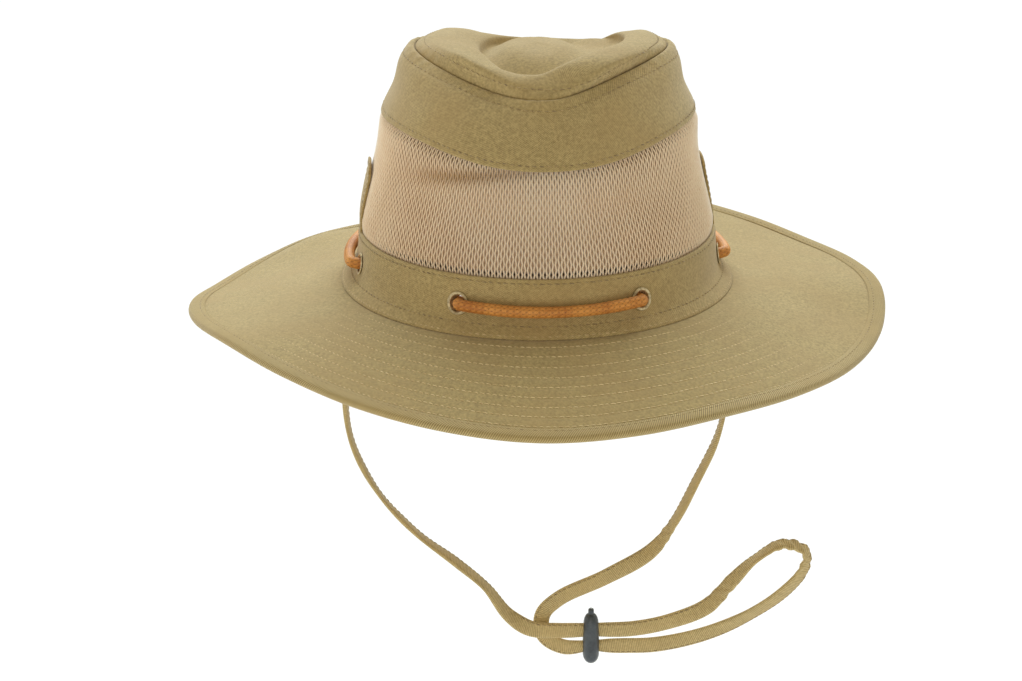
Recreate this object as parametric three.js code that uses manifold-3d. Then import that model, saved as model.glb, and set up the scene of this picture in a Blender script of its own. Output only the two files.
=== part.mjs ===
// Outback hat: a pinched twill crown with a knitted panel, a wide bound brim, a hatband cord laced through
// eight eyelets, and a chin strap with a slide.
// Millimetres, +Z up, the front towards -Y. The origin is the middle of the head opening, level with the
// hem of the crown band. Turns are counted in radians from +X, counter-clockwise as seen from above.
import * as THREE from 'three';
import { mergeVertices } from 'three/addons/utils/BufferGeometryUtils.js';
import { ParametricGeometry } from 'three/addons/geometries/ParametricGeometry.js';
import Module from 'manifold-3d';

const wasm = await Module();
wasm.setup();

// Rows with named columns.
function table(columns, rows) {
  return rows.map((row) => Object.fromEntries(columns.map((column, i) => [column, row[i]])));
}

const GAP = 0.3;           // clearance between pieces that touch
const TWILL = 1.4;         // crown cloth
const BAND = 1.8;          // the crown band, folded double
const KNIT = 1.2;          // the mesh panel
const BRIM = 1.5;          // two layers of twill, quilted together
const TAPE = 0.8;          // the binding tape
const TAPE_GAP = 0.5;      // between the tape and the brim
const TAPE_WIDTH = 8.4;    // how far the tape reaches in from the brim's edge
const FACETS = 48;         // facets around the hat
const FRONT = -Math.PI / 2;
const DIP_POWER = 2.5;     // how flat-bottomed the front and back dips are
const BACK_WIDE = 0.85;    // half width of the back dip, as a turn
const BACK_SKEW = -0.1;    // how far it is turned aside
const HUMP_TURN = 2.48;    // where the brim's hump is, at the back
const HUMP_WIDE = 0.2;     // half width of the hump, as a turn
const DEGREE = Math.PI / 180;

const KHAKI = { color: 0xa08a58, roughness: 0.9, metalness: 0 };
const PINK_BEIGE = { color: 0xb99f80, roughness: 0.95, metalness: 0 };
const BRASS = { color: 0x8f8463, roughness: 0.35, metalness: 0.9 };
const ORANGE_BROWN = { color: 0xc2752f, roughness: 0.6, metalness: 0 };
const SLATE = { color: 0x3c444c, roughness: 0.4, metalness: 0 };

// The outer face of the crown, a row for each level. z is its height at the sides, w its half width, and
// front and back are how far it reaches along -Y and +Y. It dips by dipF in front, over the turn wideF and
// turned aside by skew, and by dipB at the back. Taper is how much the front is narrowed, and aside is how
// far the level lies towards +X.
const CROWN_LEVELS = table(
  ['level', 'z', 'w', 'front', 'back', 'dipF', 'wideF', 'dipB', 'taper', 'skew', 'aside'],
  [
    ['hem', 0, 95.4, 115.8, 115.8, 0, 1, 0, 0, 0, 0],
    ['flare', 6.5, 89, 109.7, 109.7, 0, 1, 0, 0, 0, 0],
    ['waist', 15, 87, 107.4, 107.4, 0, 1, 0, 0, 0, 0],
    ['bandTop', 25.2, 86, 106, 106, 0, 0.8, 0, 0, 0, 0],
    ['meshLow', 42, 82.6, 103.4, 102.5, 2.5, 0.8, 2, 0.01, 0.05, 0],
    ['meshHigh', 64, 77.8, 99, 97.5, 7.5, 0.8, 6, 0.04, 0.05, 0],
    ['meshTop', 82, 75.2, 94.4, 93, 10.4, 0.8, 10, 0.06, 0.05, 0],
    ['sideMid', 97, 70, 85.5, 84, 11.6, 0.8, 13, 0.08, 0.02, 0],
    ['sideHigh', 109, 66.2, 76.8, 76.9, 13, 0.9, 14, 0.2, -0.05, 1.2],
    ['seam', 114, 60.6, 73.4, 74, 14, 1, 14.5, 0.38, -0.1, 2],
    ['shoulder', 115.8, 54.5, 69.2, 68.5, 10.7, 0.55, 13, 0.08, -0.05, 3.8],
    ['crest', 117, 40.9, 60.1, 60.5, 8.1, 0.7, 18, 0.34, -0.29, 1.3],
    ['slope', 111.7, 34.6, 52, 55, 10.6, 0.65, 5.5, 0, -0.13, 6.5],
    ['valley', 107, 27, 42, 47, 9, 0.82, 2, 0, -0.14, 1],
    ['mound', 111.6, 12.5, 14, 33.7, 2.5, 0.9, 1, 0, 0, 0],
    ['top', 112, 0, -12, 12, 0, 1, 0, 0, 0, 0],
  ],
);

// The upper face of the brim, from its rim in to the collar that turns up inside the crown band. Drop is
// the share of the rim's own height that the row follows, corner pulls the plan in at the quarters, and
// hump is how high the row rises in the one hump at the back.
const BRIM_LEVELS = table(
  ['level', 'z', 'w', 'front', 'back', 'drop', 'corner', 'hump'],
  [
    ['rim', 0, 169.5, 187.7, 187.1, 1, -0.07, 0],
    ['outer', 0, 152, 170.6, 170, 0.78, -0.05, 4.4],
    ['middle', -0.2, 124, 143.4, 143, 0.38, -0.02, 2],
    ['joint', -0.5, 96.2, 116.6, 116.6, 0, 0, 0],
    ['fold', -0.4, 91.9, 112.4, 112.4, 0, 0, 0],
    ['rise', 3, 89.1, 109.8, 109.8, 0, 0, 0],
    ['collar', 5.6, 87.2, 108, 108, 0, 0, 0],
  ],
);

// Height of the brim's rim, at even turns.
const RIM_HEIGHTS = table(['degrees', 'z'], [
  [0, -8.9],
  [15, -7.6],
  [30, -6.9],
  [45, -3.5],
  [60, -0.9],
  [75, -2.7],
  [90, -5.8],
  [105, -8.2],
  [120, -10.8],
  [135, -13],
  [150, -17.2],
  [165, -19.2],
  [180, -15],
  [195, -10.7],
  [210, -7.3],
  [225, -10.3],
  [240, -15.1],
  [255, -18.7],
  [270, -21.1],
  [285, -20.4],
  [300, -18.9],
  [315, -19.6],
  [330, -19.3],
  [345, -14.3],
]);

// Each cloth wall is a closed section: up its outer face and down its inner face. Along is millimetres past
// the level, and lift is the distance out from the crown's or the brim's face.
const SECTION_COLUMNS = ['level', 'along', 'lift'];
const KNIT_IN = -BAND - GAP;
const TIP_IN = -TWILL - GAP;
const BAND_SECTION = table(SECTION_COLUMNS, [
  ['hem', 0, 0],
  ['hem', 3.5, 0],
  ['flare', 0, 0],
  ['waist', 0, 0],
  ['bandTop', 0, 0],
  ['bandTop', 0, -BAND],
  ['waist', 0, -BAND],
  ['flare', 0, -BAND],
  ['hem', 1.8, -BAND],
]);
const MESH_SECTION = table(SECTION_COLUMNS, [
  ['bandTop', -6, KNIT_IN],
  ['bandTop', 1, KNIT_IN],
  ['bandTop', 7, -1],
  ['meshLow', 0, -0.4],
  ['meshHigh', 0, 0],
  ['meshTop', -4, -0.2],
  ['meshTop', 0, TIP_IN],
  ['meshTop', 6, TIP_IN],
  ['meshTop', 6, TIP_IN - KNIT],
  ['meshTop', 0, TIP_IN - KNIT],
  ['meshTop', -4, -0.2 - KNIT],
  ['meshHigh', 0, -KNIT],
  ['meshLow', 0, -0.4 - KNIT],
  ['bandTop', 1, KNIT_IN - KNIT],
  ['bandTop', -6, KNIT_IN - KNIT],
]);
const SIDE_SECTION = table(SECTION_COLUMNS, [
  ['meshTop', 0, 0],
  ['meshTop', 6, 0],
  ['sideMid', 0, 0],
  ['sideHigh', 0, 0],
  ['seam', 0, 0],
  ['seam', 0, -TWILL],
  ['sideHigh', 0, -TWILL],
  ['sideMid', 0, -TWILL],
  ['meshTop', 6, -TWILL],
  ['meshTop', 0, -TWILL],
]);
const TIP_SECTION = table(SECTION_COLUMNS, [
  ['seam', -4, TIP_IN],
  ['seam', 0.4, TIP_IN],
  ['seam', 0.4, -0.2],
  ['seam', 3, 0],
  ['shoulder', 0, 0],
  ['shoulder', 7, 0],
  ['crest', 0, 0],
  ['slope', 0, 0],
  ['valley', 0, 0],
  ['mound', 0, 0],
  ['top', 0, 0],
  ['top', 0, -TWILL],
  ['mound', 0, -TWILL],
  ['valley', 0, -TWILL],
  ['slope', 0, -TWILL],
  ['crest', 0, -TWILL],
  ['shoulder', 7, -TWILL],
  ['shoulder', 0, TIP_IN - TWILL],
  ['seam', -4, TIP_IN - TWILL],
]);
const BRIM_SECTION = table(SECTION_COLUMNS, [
  ['rim', TAPE + GAP, 0],
  ['rim', TAPE_WIDTH, 0],
  ['middle', 0, 0],
  ['joint', 0, 0],
  ['fold', 0, 0],
  ['rise', 0, 0],
  ['collar', 0, 0],
  ['collar', 0, -BRIM],
  ['rise', 0, -BRIM],
  ['fold', 0, -BRIM],
  ['middle', 0, -BRIM],
  ['rim', TAPE_WIDTH, -BRIM],
  ['rim', TAPE + GAP, -BRIM],
]);
const TAPE_TOP = TAPE_GAP + TAPE;
const TAPE_FOOT = -BRIM - TAPE_GAP - TAPE;
const BINDING_SECTION = table(SECTION_COLUMNS, [
  ['rim', 0, -BRIM],
  ['rim', 0, 0],
  ['rim', TAPE, TAPE_TOP],
  ['rim', TAPE_WIDTH, TAPE_TOP],
  ['rim', TAPE_WIDTH, TAPE_GAP],
  ['rim', TAPE, TAPE_GAP],
  ['rim', TAPE, -BRIM - TAPE_GAP],
  ['rim', TAPE_WIDTH, -BRIM - TAPE_GAP],
  ['rim', TAPE_WIDTH, TAPE_FOOT],
  ['rim', TAPE, TAPE_FOOT],
]);

// Eyelets and the cord through them. The lacing is turned a little past the front, and each eyelet is
// given by its turn from the middle of the lacing.
const LACING_SKEW = 4.6 * DEGREE;
const EYELET_TURNS = [-29.6, 27, 79.3, 131, 155, 205, 229, 280.7];
const EYELET_ALONG = -2.8;    // below the waist level of the band
const EYELET_BORE = 3.9;
const EYELET_BARREL = 4.4;
const EYELET_FLANGE = 5.4;
const EYELET_PLATE = 0.5;
const EYELET_SIDES = 9;
const EYELET_GAP = 0.7;       // its plates bridge the curve of the band
const EYELET_BEVEL = 0.5;
const HOLE_RADIUS = 4.9;      // in the band, round an eyelet's barrel
const HOLE_LENGTH = 9;
const HOLE_SIDES = 12;
const CORD_RADIUS = 2.6;
const CORD_SIDES = 8;
const CORD_SAG = 1.4;           // how far an outer run hangs below its eyelets
// Where the cord's centre runs after it leaves an eyelet: reach along the band, and off its middle.
const CORD_BEND = table(['reach', 'off'], [
  [0, 0],
  [0.5, 2.6],
  [2.3, 4.9],
  [8, 4.8],
]);
const CORD_REST = 4.5;        // off the band's middle, between the bends
const CORD_LONG_RESTS = [0.28, 0.5, 0.72];
const CORD_SHORT_RESTS = [0.5];
const CORD_ENDS = [0.495, 0.505];    // its two ends meet inside, at the back

// Chin strap: a flat twill tube. Its route is in millimetres, and turn is how far its broad face is turned
// from facing the front, in degrees.
const STRAP_WIDTH = 8;
const STRAP_THICK = 2.2;
const STRAP_EDGE = 0.5;       // bevel along its corners
const STRAP_STEPS = 62;
const STRAP_ROUTE = table(['x', 'y', 'z', 'turn'], [
  [-83.2, 0, 7.5, 90],
  [-86, 0, -2, 90],
  [-92.5, -2, -30, 85],
  [-94.8, -5, -60, 87],
  [-91.4, -8, -84.8, 86],
  [-79.1, -11, -109.2, 94],
  [-60.8, -13, -129.7, 92],
  [-40.4, -14, -145.8, 80],
  [-25.8, -14, -158.8, 78],
  [-14.5, -14, -174, 55],
  [-3, -13, -182, 10],
  [10, -12, -183.4, 0],
  [27, -12, -183.1, 0],
  [48, -12, -182.6, 0],
  [66.8, -12, -178.7, 0],
  [85, -13, -170.5, 25],
  [97, -14, -156.8, 50],
  [108.4, -15, -144.6, 85],
  [121.9, -15, -136.6, 76],
  [133.7, -15, -140.6, 68],
  [132.9, -14, -150.8, 37],
  [122.9, -13, -163.5, 30],
  [105.4, -12, -176.2, 28],
  [83.8, -12, -185.8, 8],
  [60, -12, -191.2, 0],
  [42, -12, -191.8, 0],
  [27, -12, -191.7, 0],
  [13, -11, -192.6, 0],
  [3.6, -7.5, -188, 0],
  [2.6, -6.5, -177.5, 0],
  [11, -7.5, -168, 0],
  [34.7, -8, -156.2, 0],
  [57.2, -8, -142.4, 45],
  [68.7, -8, -126.6, 78],
  [78.9, -7, -106.3, 74],
  [89.3, -5, -83.7, 88],
  [94, -3, -60, 93],
  [92.5, -1, -30, 90],
  [86, 0, -2, 90],
  [83.2, 0, 7.5, 90],
]);
const SLIDE_CENTRE = new THREE.Vector3(27, -12, -187.4);
const SLIDE_SIDES = 12;
const SLIDE_DEEPER = 1.25;    // its depth over its width
const SLOT_LENGTH = 20;
const SLIDE_PLAY = 0.5;       // round the strands in its slot
const SLIDE_STRANDS = 8.6;    // between the middles of the two strands in it
// The slide's outline from its foot to the knob on top.
const SLIDE_PROFILE = table(['r', 'z'], [
  [0, -13.3],
  [2.4, -12.7],
  [3.9, -10.6],
  [4.3, -7.5],
  [4.1, 4],
  [3.8, 9],
  [2.9, 12],
  [1.4, 13.3],
  [1.4, 15.2],
  [0, 16],
]);

// Side tabs: they stand on the band's top edge. Up is along the crown and lift is their outer face.
const TAB_WIDTH = 24;
const TAB_THICK = 1.2;
const TAB_STEPS = 6;          // facets across it
const TAB_LEFT = Math.PI + 0.05;
const TAB_RIGHT = 0.08;
const TAB_SHOULDER = 22;      // above it the tip is rounded
const TAB_ROUND = 0.45;       // what the corners lose of the height above the shoulder
const SIDE_FLATNESS = 1.24;   // radius of the crown's plan at the sides over its half width
const TAB_RISE = table(['up', 'lift'], [
  [0.4, 0],
  [7, 1.2],
  [15, 2],
  [22, 2.1],
  [29, 1.8],
  [34, 2.6],
]);

// A closed body from a geometry: shared corners are merged and faces without area dropped.
function closed(geometry) {
  geometry.deleteAttribute('normal');
  geometry.deleteAttribute('uv');
  const merged = mergeVertices(geometry, 1e-4);
  const faces = [];
  for (let i = 0; i < merged.index.count; i += 3) {
    const [a, b, c] = [merged.index.getX(i), merged.index.getX(i + 1), merged.index.getX(i + 2)];
    if (a !== b && b !== c && c !== a) faces.push(a, b, c);
  }
  merged.setIndex(faces);
  merged.computeVertexNormals();
  return merged;
}

function toManifold(geometry) {
  const body = closed(geometry);
  return new wasm.Manifold(new wasm.Mesh({
    numProp: 3,
    vertProperties: new Float32Array(body.attributes.position.array),
    triVerts: new Uint32Array(body.index.array),
  }));
}

function fromManifold(body) {
  const mesh = body.getMesh();
  const geometry = new THREE.BufferGeometry();
  geometry.setAttribute('position', new THREE.BufferAttribute(new Float32Array(mesh.vertProperties), 3));
  geometry.setIndex(new THREE.BufferAttribute(new Uint32Array(mesh.triVerts), 1));
  geometry.computeVertexNormals();
  return geometry;
}

// The turn from one direction to another, the shorter way round.
function turnBetween(turn, from) {
  return THREE.MathUtils.euclideanModulo(turn - from + Math.PI, 2 * Math.PI) - Math.PI;
}

const dip = (turn, wide) => Math.exp(-((Math.abs(turn) / wide) ** DIP_POWER));

function crownPoint(row, turn) {
  const [c, s] = [Math.cos(turn), Math.sin(turn)];
  const sink = row.dipF * dip(turnBetween(turn, FRONT + row.skew), row.wideF)
    + row.dipB * dip(turnBetween(turn, BACK_SKEW - FRONT), BACK_WIDE);
  return new THREE.Vector3(
    row.aside + row.w * c * (1 - row.taper * Math.max(0, -s) ** 2),
    (row.back - row.front) / 2 + (row.back + row.front) / 2 * s,
    row.z - sink,
  );
}

const rimCurve = new THREE.CatmullRomCurve3(
  RIM_HEIGHTS.map((row) => new THREE.Vector3(0, 0, row.z)), true, 'catmullrom', 0.5,
);

function brimPoint(row, turn) {
  const [c, s] = [Math.cos(turn), Math.sin(turn)];
  const rimHeight = rimCurve.getPoint(THREE.MathUtils.euclideanModulo(turn / (2 * Math.PI), 1)).z;
  const hump = row.hump * Math.exp(-((turnBetween(turn, HUMP_TURN) / HUMP_WIDE) ** 2));
  return new THREE.Vector3(
    row.w * c * (1 + row.corner * s * s),
    ((row.back - row.front) / 2 + (row.back + row.front) / 2 * s) * (1 + row.corner * c * c),
    row.z + row.drop * rimHeight + hump,
  );
}

// A smooth face through a table of levels, with its normal.
class Face {
  constructor(rows, pointOf) {
    this.rows = rows;
    this.pointOf = pointOf;
  }

  // The level's place along the rows, moved on by a distance in millimetres.
  place(turn, level, along) {
    const way = Math.sign(along);
    let row = this.rows.findIndex(({ level: name }) => name === level);
    let rest = Math.abs(along);
    while (rest > 0) {
      const next = this.pointOf(this.rows[row + way], turn);
      const step = this.pointOf(this.rows[row], turn).distanceTo(next);
      if (rest < step) return row + way * rest / step;
      rest -= step;
      row += way;
    }
    return row;
  }

  at(turn, place) {
    const curve = new THREE.CatmullRomCurve3(this.rows.map((row) => this.pointOf(row, turn)));
    return curve.getPoint(THREE.MathUtils.clamp(place / (this.rows.length - 1), 0, 1));
  }

  normal(turn, place) {
    const last = this.rows.length - 1;
    if (this.rows[last].w === 0 && place > last - 1e-3) return new THREE.Vector3(0, 0, 1);
    const [low, high] = [Math.max(place - 0.01, 0), Math.min(place + 0.01, last)];
    const across = this.at(turn + 0.01, place).sub(this.at(turn - 0.01, place));
    return across.cross(this.at(turn, high).sub(this.at(turn, low))).normalize();
  }

  // The point of a section entry at a turn.
  lifted(turn, { level, along, lift }) {
    const place = this.place(turn, level, along);
    return this.at(turn, place).addScaledVector(this.normal(turn, place), lift);
  }
}

const crown = new Face(CROWN_LEVELS, crownPoint);
const brim = new Face(BRIM_LEVELS, brimPoint);

// A cloth wall: its closed section carried once around the hat.
function wall(face, section) {
  const rings = section.map((entry) => Array.from({ length: FACETS }, (_, i) => (
    face.lifted(2 * Math.PI * i / FACETS, entry)
  )));
  return new ParametricGeometry((u, v, target) => {
    const ring = rings[Math.round(v * section.length) % section.length];
    target.copy(ring[Math.round(u * FACETS) % FACETS]);
  }, FACETS, section.length);
}

// A path that gives a tube its rings where they are wanted: points, and the way across the section at each.
class Stations extends THREE.Curve {
  constructor(points, across) {
    super();
    this.points = points;
    this.across = across;
  }

  getSpacedPoints() {
    return this.points;
  }

  computeFrenetFrames() {
    const last = this.points.length - 1;
    const tangents = this.points.map((_, i) => (
      this.points[Math.min(i + 1, last)].clone().sub(this.points[Math.max(i - 1, 0)]).normalize()
    ));
    const normals = tangents.map((tangent, i) => (
      this.across[i].clone().addScaledVector(tangent, -this.across[i].dot(tangent)).normalize()
    ));
    const binormals = tangents.map((tangent, i) => tangent.clone().cross(normals[i]));
    return { tangents, normals, binormals };
  }
}

function tube(points, across, outline) {
  const extrudePath = new Stations(points, across);
  return new THREE.ExtrudeGeometry(new THREE.Shape(outline), { steps: points.length - 1, extrudePath });
}

const group = new THREE.Group();

function addMesh(name, geometry, look) {
  const mesh = new THREE.Mesh(closed(geometry), new THREE.MeshStandardMaterial(look));
  mesh.name = name;
  group.add(mesh);
  return mesh;
}

function eyeletFrame(index) {
  const turn = FRONT + LACING_SKEW + EYELET_TURNS[index] * DEGREE;
  const place = crown.place(turn, 'waist', EYELET_ALONG);
  return { turn, place, point: crown.at(turn, place), normal: crown.normal(turn, place) };
}

function addBand() {
  let body = toManifold(wall(crown, BAND_SECTION));
  EYELET_TURNS.forEach((_, i) => {
    const { point, normal } = eyeletFrame(i);
    const drill = new THREE.CylinderGeometry(HOLE_RADIUS, HOLE_RADIUS, HOLE_LENGTH, HOLE_SIDES);
    drill.applyQuaternion(new THREE.Quaternion().setFromUnitVectors(new THREE.Vector3(0, 1, 0), normal));
    drill.translate(point.x, point.y, point.z);
    body = body.subtract(toManifold(drill));
  });
  addMesh('crown_band', fromManifold(body), KHAKI);
}

function addEyelets() {
  const face = EYELET_GAP;
  const back = -BAND - EYELET_GAP;
  const profile = [
    [EYELET_BORE, back - EYELET_PLATE],
    [EYELET_FLANGE, back - EYELET_PLATE],
    [EYELET_FLANGE, back],
    [EYELET_BARREL, back],
    [EYELET_BARREL, face],
    [EYELET_FLANGE, face],
    [EYELET_FLANGE - EYELET_BEVEL, face + EYELET_PLATE],
    [EYELET_BORE, face + EYELET_PLATE],
    [EYELET_BORE, back - EYELET_PLATE],
  ].map(([r, h]) => new THREE.Vector2(r, h));
  EYELET_TURNS.forEach((_, i) => {
    const { point, normal } = eyeletFrame(i);
    const mesh = addMesh(`eyelet_${i + 1}`, new THREE.LatheGeometry(profile, EYELET_SIDES), BRASS);
    mesh.position.copy(point);
    mesh.quaternion.setFromUnitVectors(new THREE.Vector3(0, 1, 0), normal);
  });
}

// One run of the cord between two eyelets, outside (side 1) or inside (side -1) the band. It leaves out the
// last eyelet, where the next run starts.
function cordRun(from, to, side, rests) {
  const [start, end] = [eyeletFrame(from), eyeletFrame(to)];
  const span = THREE.MathUtils.euclideanModulo(end.turn - start.turn, 2 * Math.PI);
  const radius = Math.hypot(start.point.x, start.point.y);
  const out = CORD_BEND.map(({ reach, off }) => ({ share: reach / radius / span, off }));
  const back = out.slice(1).reverse().map(({ share, off }) => ({ share: 1 - share, off }));
  const middle = rests.map((share) => ({ share, off: CORD_REST }));
  return [...out, ...middle, ...back].map(({ share, off }) => {
    const sag = side > 0 ? CORD_SAG * 4 * share * (1 - share) : 0;
    const entry = { level: 'waist', along: EYELET_ALONG - sag, lift: -BAND / 2 + side * off };
    return crown.lifted(start.turn + share * span, entry);
  });
}

function addCord() {
  const meeting = cordRun(5, 6, -1, CORD_ENDS);
  const middle = meeting.length / 2 + 0.5;
  const points = [
    ...meeting.slice(middle),
    ...cordRun(6, 7, 1, CORD_LONG_RESTS),
    ...cordRun(7, 0, -1, CORD_LONG_RESTS),
    ...cordRun(0, 1, 1, CORD_LONG_RESTS),
    ...cordRun(1, 2, -1, CORD_LONG_RESTS),
    ...cordRun(2, 3, 1, CORD_LONG_RESTS),
    ...cordRun(3, 4, -1, CORD_SHORT_RESTS),
    ...cordRun(4, 5, 1, CORD_LONG_RESTS),
    ...meeting.slice(0, middle),
  ];
  const outline = Array.from({ length: CORD_SIDES }, (_, i) => {
    const turn = 2 * Math.PI * (i + 0.5) / CORD_SIDES;
    return new THREE.Vector2(CORD_RADIUS * Math.cos(turn), CORD_RADIUS * Math.sin(turn));
  });
  const upright = points.map(() => new THREE.Vector3(0, 0, 1));
  addMesh('hatband_cord', tube(points, upright, outline), ORANGE_BROWN);
}

function addTab(name, turn) {
  const rows = TAB_RISE.length - 1;
  const geometry = new THREE.BoxGeometry(TAB_WIDTH, rows, TAB_THICK, TAB_STEPS, rows, 1);
  const corner = geometry.attributes.position;
  const radius = crown.at(0, crown.place(0, 'meshLow', 0)).x * SIDE_FLATNESS;
  for (let i = 0; i < corner.count; i += 1) {
    const row = TAB_RISE[Math.round(corner.getY(i) + rows / 2)];
    const lift = row.lift - TAB_THICK / 2 + corner.getZ(i);
    const reach = corner.getX(i);
    const lost = TAB_ROUND * (1 - Math.sqrt(Math.max(1 - (2 * reach / TAB_WIDTH) ** 2, 0)));
    const along = row.up - Math.max(row.up - TAB_SHOULDER, 0) * lost;
    const point = crown.lifted(turn + reach / radius, { level: 'bandTop', along, lift });
    corner.setXYZ(i, point.x, point.y, point.z);
  }
  addMesh(name, geometry, KHAKI);
}

function addStrap() {
  const route = new THREE.CatmullRomCurve3(STRAP_ROUTE.map(({ x, y, z }) => new THREE.Vector3(x, y, z)));
  const points = Array.from({ length: STRAP_STEPS + 1 }, (_, i) => route.getPoint(i / STRAP_STEPS));
  const across = points.map((_, i) => {
    const place = i / STRAP_STEPS * (STRAP_ROUTE.length - 1);
    const [before, after] = [STRAP_ROUTE[Math.floor(place)], STRAP_ROUTE[Math.ceil(place)]];
    const turn = THREE.MathUtils.lerp(before.turn, after.turn, place % 1) * DEGREE;
    const level = route.getTangent(i / STRAP_STEPS).cross(new THREE.Vector3(0, 1, 0)).normalize();
    return level.multiplyScalar(Math.cos(turn)).add(new THREE.Vector3(0, Math.sin(turn), 0));
  });
  const [w, t, edge] = [STRAP_WIDTH / 2, STRAP_THICK / 2, STRAP_EDGE];
  const outline = [
    [w, t - edge], [w - edge, t], [edge - w, t], [-w, t - edge],
    [-w, edge - t], [edge - w, -t], [w - edge, -t], [w, edge - t],
  ].map(([x, y]) => new THREE.Vector2(x, y));
  addMesh('chin_strap', tube(points, across, outline), KHAKI);
}

function addSlide() {
  const profile = SLIDE_PROFILE.map(({ r, z }) => new THREE.Vector2(r, z));
  const shell = new THREE.LatheGeometry(profile, SLIDE_SIDES);
  shell.rotateX(Math.PI / 2);
  shell.scale(1, SLIDE_DEEPER, 1);
  const [thick, tall] = [STRAP_THICK + 2 * SLIDE_PLAY, SLIDE_STRANDS + STRAP_WIDTH + 2 * SLIDE_PLAY];
  const slot = new THREE.BoxGeometry(SLOT_LENGTH, thick, tall);
  const body = toManifold(shell).subtract(toManifold(slot));
  addMesh('strap_slide', fromManifold(body), SLATE).position.copy(SLIDE_CENTRE);
}

addMesh('brim', wall(brim, BRIM_SECTION), KHAKI);
addMesh('brim_binding', wall(brim, BINDING_SECTION), KHAKI);
addBand();
addMesh('mesh_panel', wall(crown, MESH_SECTION), PINK_BEIGE);
addMesh('crown_side', wall(crown, SIDE_SECTION), KHAKI);
addMesh('crown_tip', wall(crown, TIP_SECTION), KHAKI);
addEyelets();
addCord();
addTab('side_tab_left', TAB_LEFT);
addTab('side_tab_right', TAB_RIGHT);
addStrap();
addSlide();

export default group;
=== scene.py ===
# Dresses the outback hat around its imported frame: twill brim and crown, knitted panel, laced cord,
# side tabs, chin strap and slide. Shapes are worked out in millimetres and put in as metres.
import math

import bmesh
import bpy
import numpy as np
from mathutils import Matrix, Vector


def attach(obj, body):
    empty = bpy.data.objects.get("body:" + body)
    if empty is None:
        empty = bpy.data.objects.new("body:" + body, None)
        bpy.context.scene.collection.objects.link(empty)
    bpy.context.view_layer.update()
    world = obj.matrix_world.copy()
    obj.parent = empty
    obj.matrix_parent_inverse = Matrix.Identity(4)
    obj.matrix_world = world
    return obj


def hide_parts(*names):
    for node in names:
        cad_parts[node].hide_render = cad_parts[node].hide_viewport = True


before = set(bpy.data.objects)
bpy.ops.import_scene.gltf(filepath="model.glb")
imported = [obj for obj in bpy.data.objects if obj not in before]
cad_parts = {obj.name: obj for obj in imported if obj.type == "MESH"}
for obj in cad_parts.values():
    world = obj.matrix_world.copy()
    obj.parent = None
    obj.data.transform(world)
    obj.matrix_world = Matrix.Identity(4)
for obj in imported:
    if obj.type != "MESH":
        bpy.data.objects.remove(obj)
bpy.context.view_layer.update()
mm = 0.001
sameSpot = 1e-6      # metres
fullTurn = 2 * math.pi
front = -math.pi / 2      # turns are counted from +X, counter-clockwise seen from above
random = np.random.default_rng(7)

# Camera: it looks at the middle of the head opening.
camera = {"distance": 1.25, "up": 15.1, "aside": -0.86, "lens": 90.06, "sensor": 36, "shiftX": -0.0254,
          "shiftY": -0.0667, "farthest": 50}


def addObject(name, data):
    holder = bpy.data.objects.new(name, data)
    bpy.context.scene.collection.objects.link(holder)
    return holder


def aimAtHat(holder, place):
    # stands at a place in metres, and looks at the middle of the head opening
    holder.location = place
    holder.rotation_euler = (-Vector(place)).to_track_quat("-Z", "Y").to_euler()


def addCamera():
    up, aside = math.radians(camera["up"]), math.radians(camera["aside"])
    away = Vector((math.sin(aside) * math.cos(up), -math.cos(aside) * math.cos(up), math.sin(up)))
    data = bpy.data.cameras.new("camera")
    data.sensor_width, data.lens = camera["sensor"], camera["lens"]
    data.shift_x, data.shift_y = camera["shiftX"], camera["shiftY"]
    data.clip_end = camera["farthest"]
    bpy.context.scene.camera = addObject("camera", data)
    aimAtHat(bpy.context.scene.camera, away * camera["distance"])


addCamera()
print("camera placed")


# Meshes

def smoothed(mesh):
    mesh.polygons.foreach_set("use_smooth", np.ones(len(mesh.polygons), bool))
    return mesh


def newMesh(name, points, faces):
    # points are in millimetres, and faces are arrays of corners
    mesh = bpy.data.meshes.new(name)
    lists = [row for part in faces for row in part.tolist()]
    mesh.from_pydata((points.reshape(-1, 3) * mm).tolist(), [], lists)
    return smoothed(mesh)


def gridMesh(name, points, uv=None, closeRows=False):
    # four-sided faces between the neighbours of a grid of rows and closed turns, which look along
    # (next turn) x (next row)
    rows, turns = points.shape[:2]
    r = np.arange(rows if closeRows else rows - 1)[:, None]
    t = np.arange(turns)[None, :]
    corners = [(r, t), (r, t + 1), (r + 1, t + 1), (r + 1, t)]
    index = np.stack([(a % rows) * turns + b % turns for a, b in corners], -1).reshape(-1, 4)
    mesh = newMesh(name, points, [index])
    if uv is not None:      # one more row and turn than the points, in millimetres along the cloth
        spread = np.stack([uv[np.broadcast_to(a, (r.size, t.size)), np.broadcast_to(b, (r.size, t.size))]
                           for a, b in corners], 2)
        mesh.uv_layers.new(name="cloth").data.foreach_set("uv", (spread * mm).astype(np.float32).ravel())
    return mesh


def tubeMesh(name, points, way=1):
    # closed tubes with flat ends, from points (tubes, rings, sides); way is -1 where the sides run round the
    # other way
    tubes, rings, sides = points.shape[:3]
    around = np.arange(sides)
    following = (around + 1) % sides
    ring = (np.arange(tubes)[:, None] * rings + np.arange(rings - 1))[..., None] * sides
    corners = [ring + sides + around, ring + sides + following, ring + following]
    quads = np.stack([ring + around] + corners[::way], -1).reshape(-1, 4)
    first = ring[:, 0]
    ends = np.concatenate([first + around[::way], first + (rings - 1) * sides + around[::-way]])
    return newMesh(name, points, [quads, ends])


def addPiece(mesh, material, replaces=()):
    piece = addObject(mesh.name, mesh)
    mesh.materials.append(material)
    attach(piece, "root")
    if replaces:
        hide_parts(*replaces)
    return piece


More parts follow.
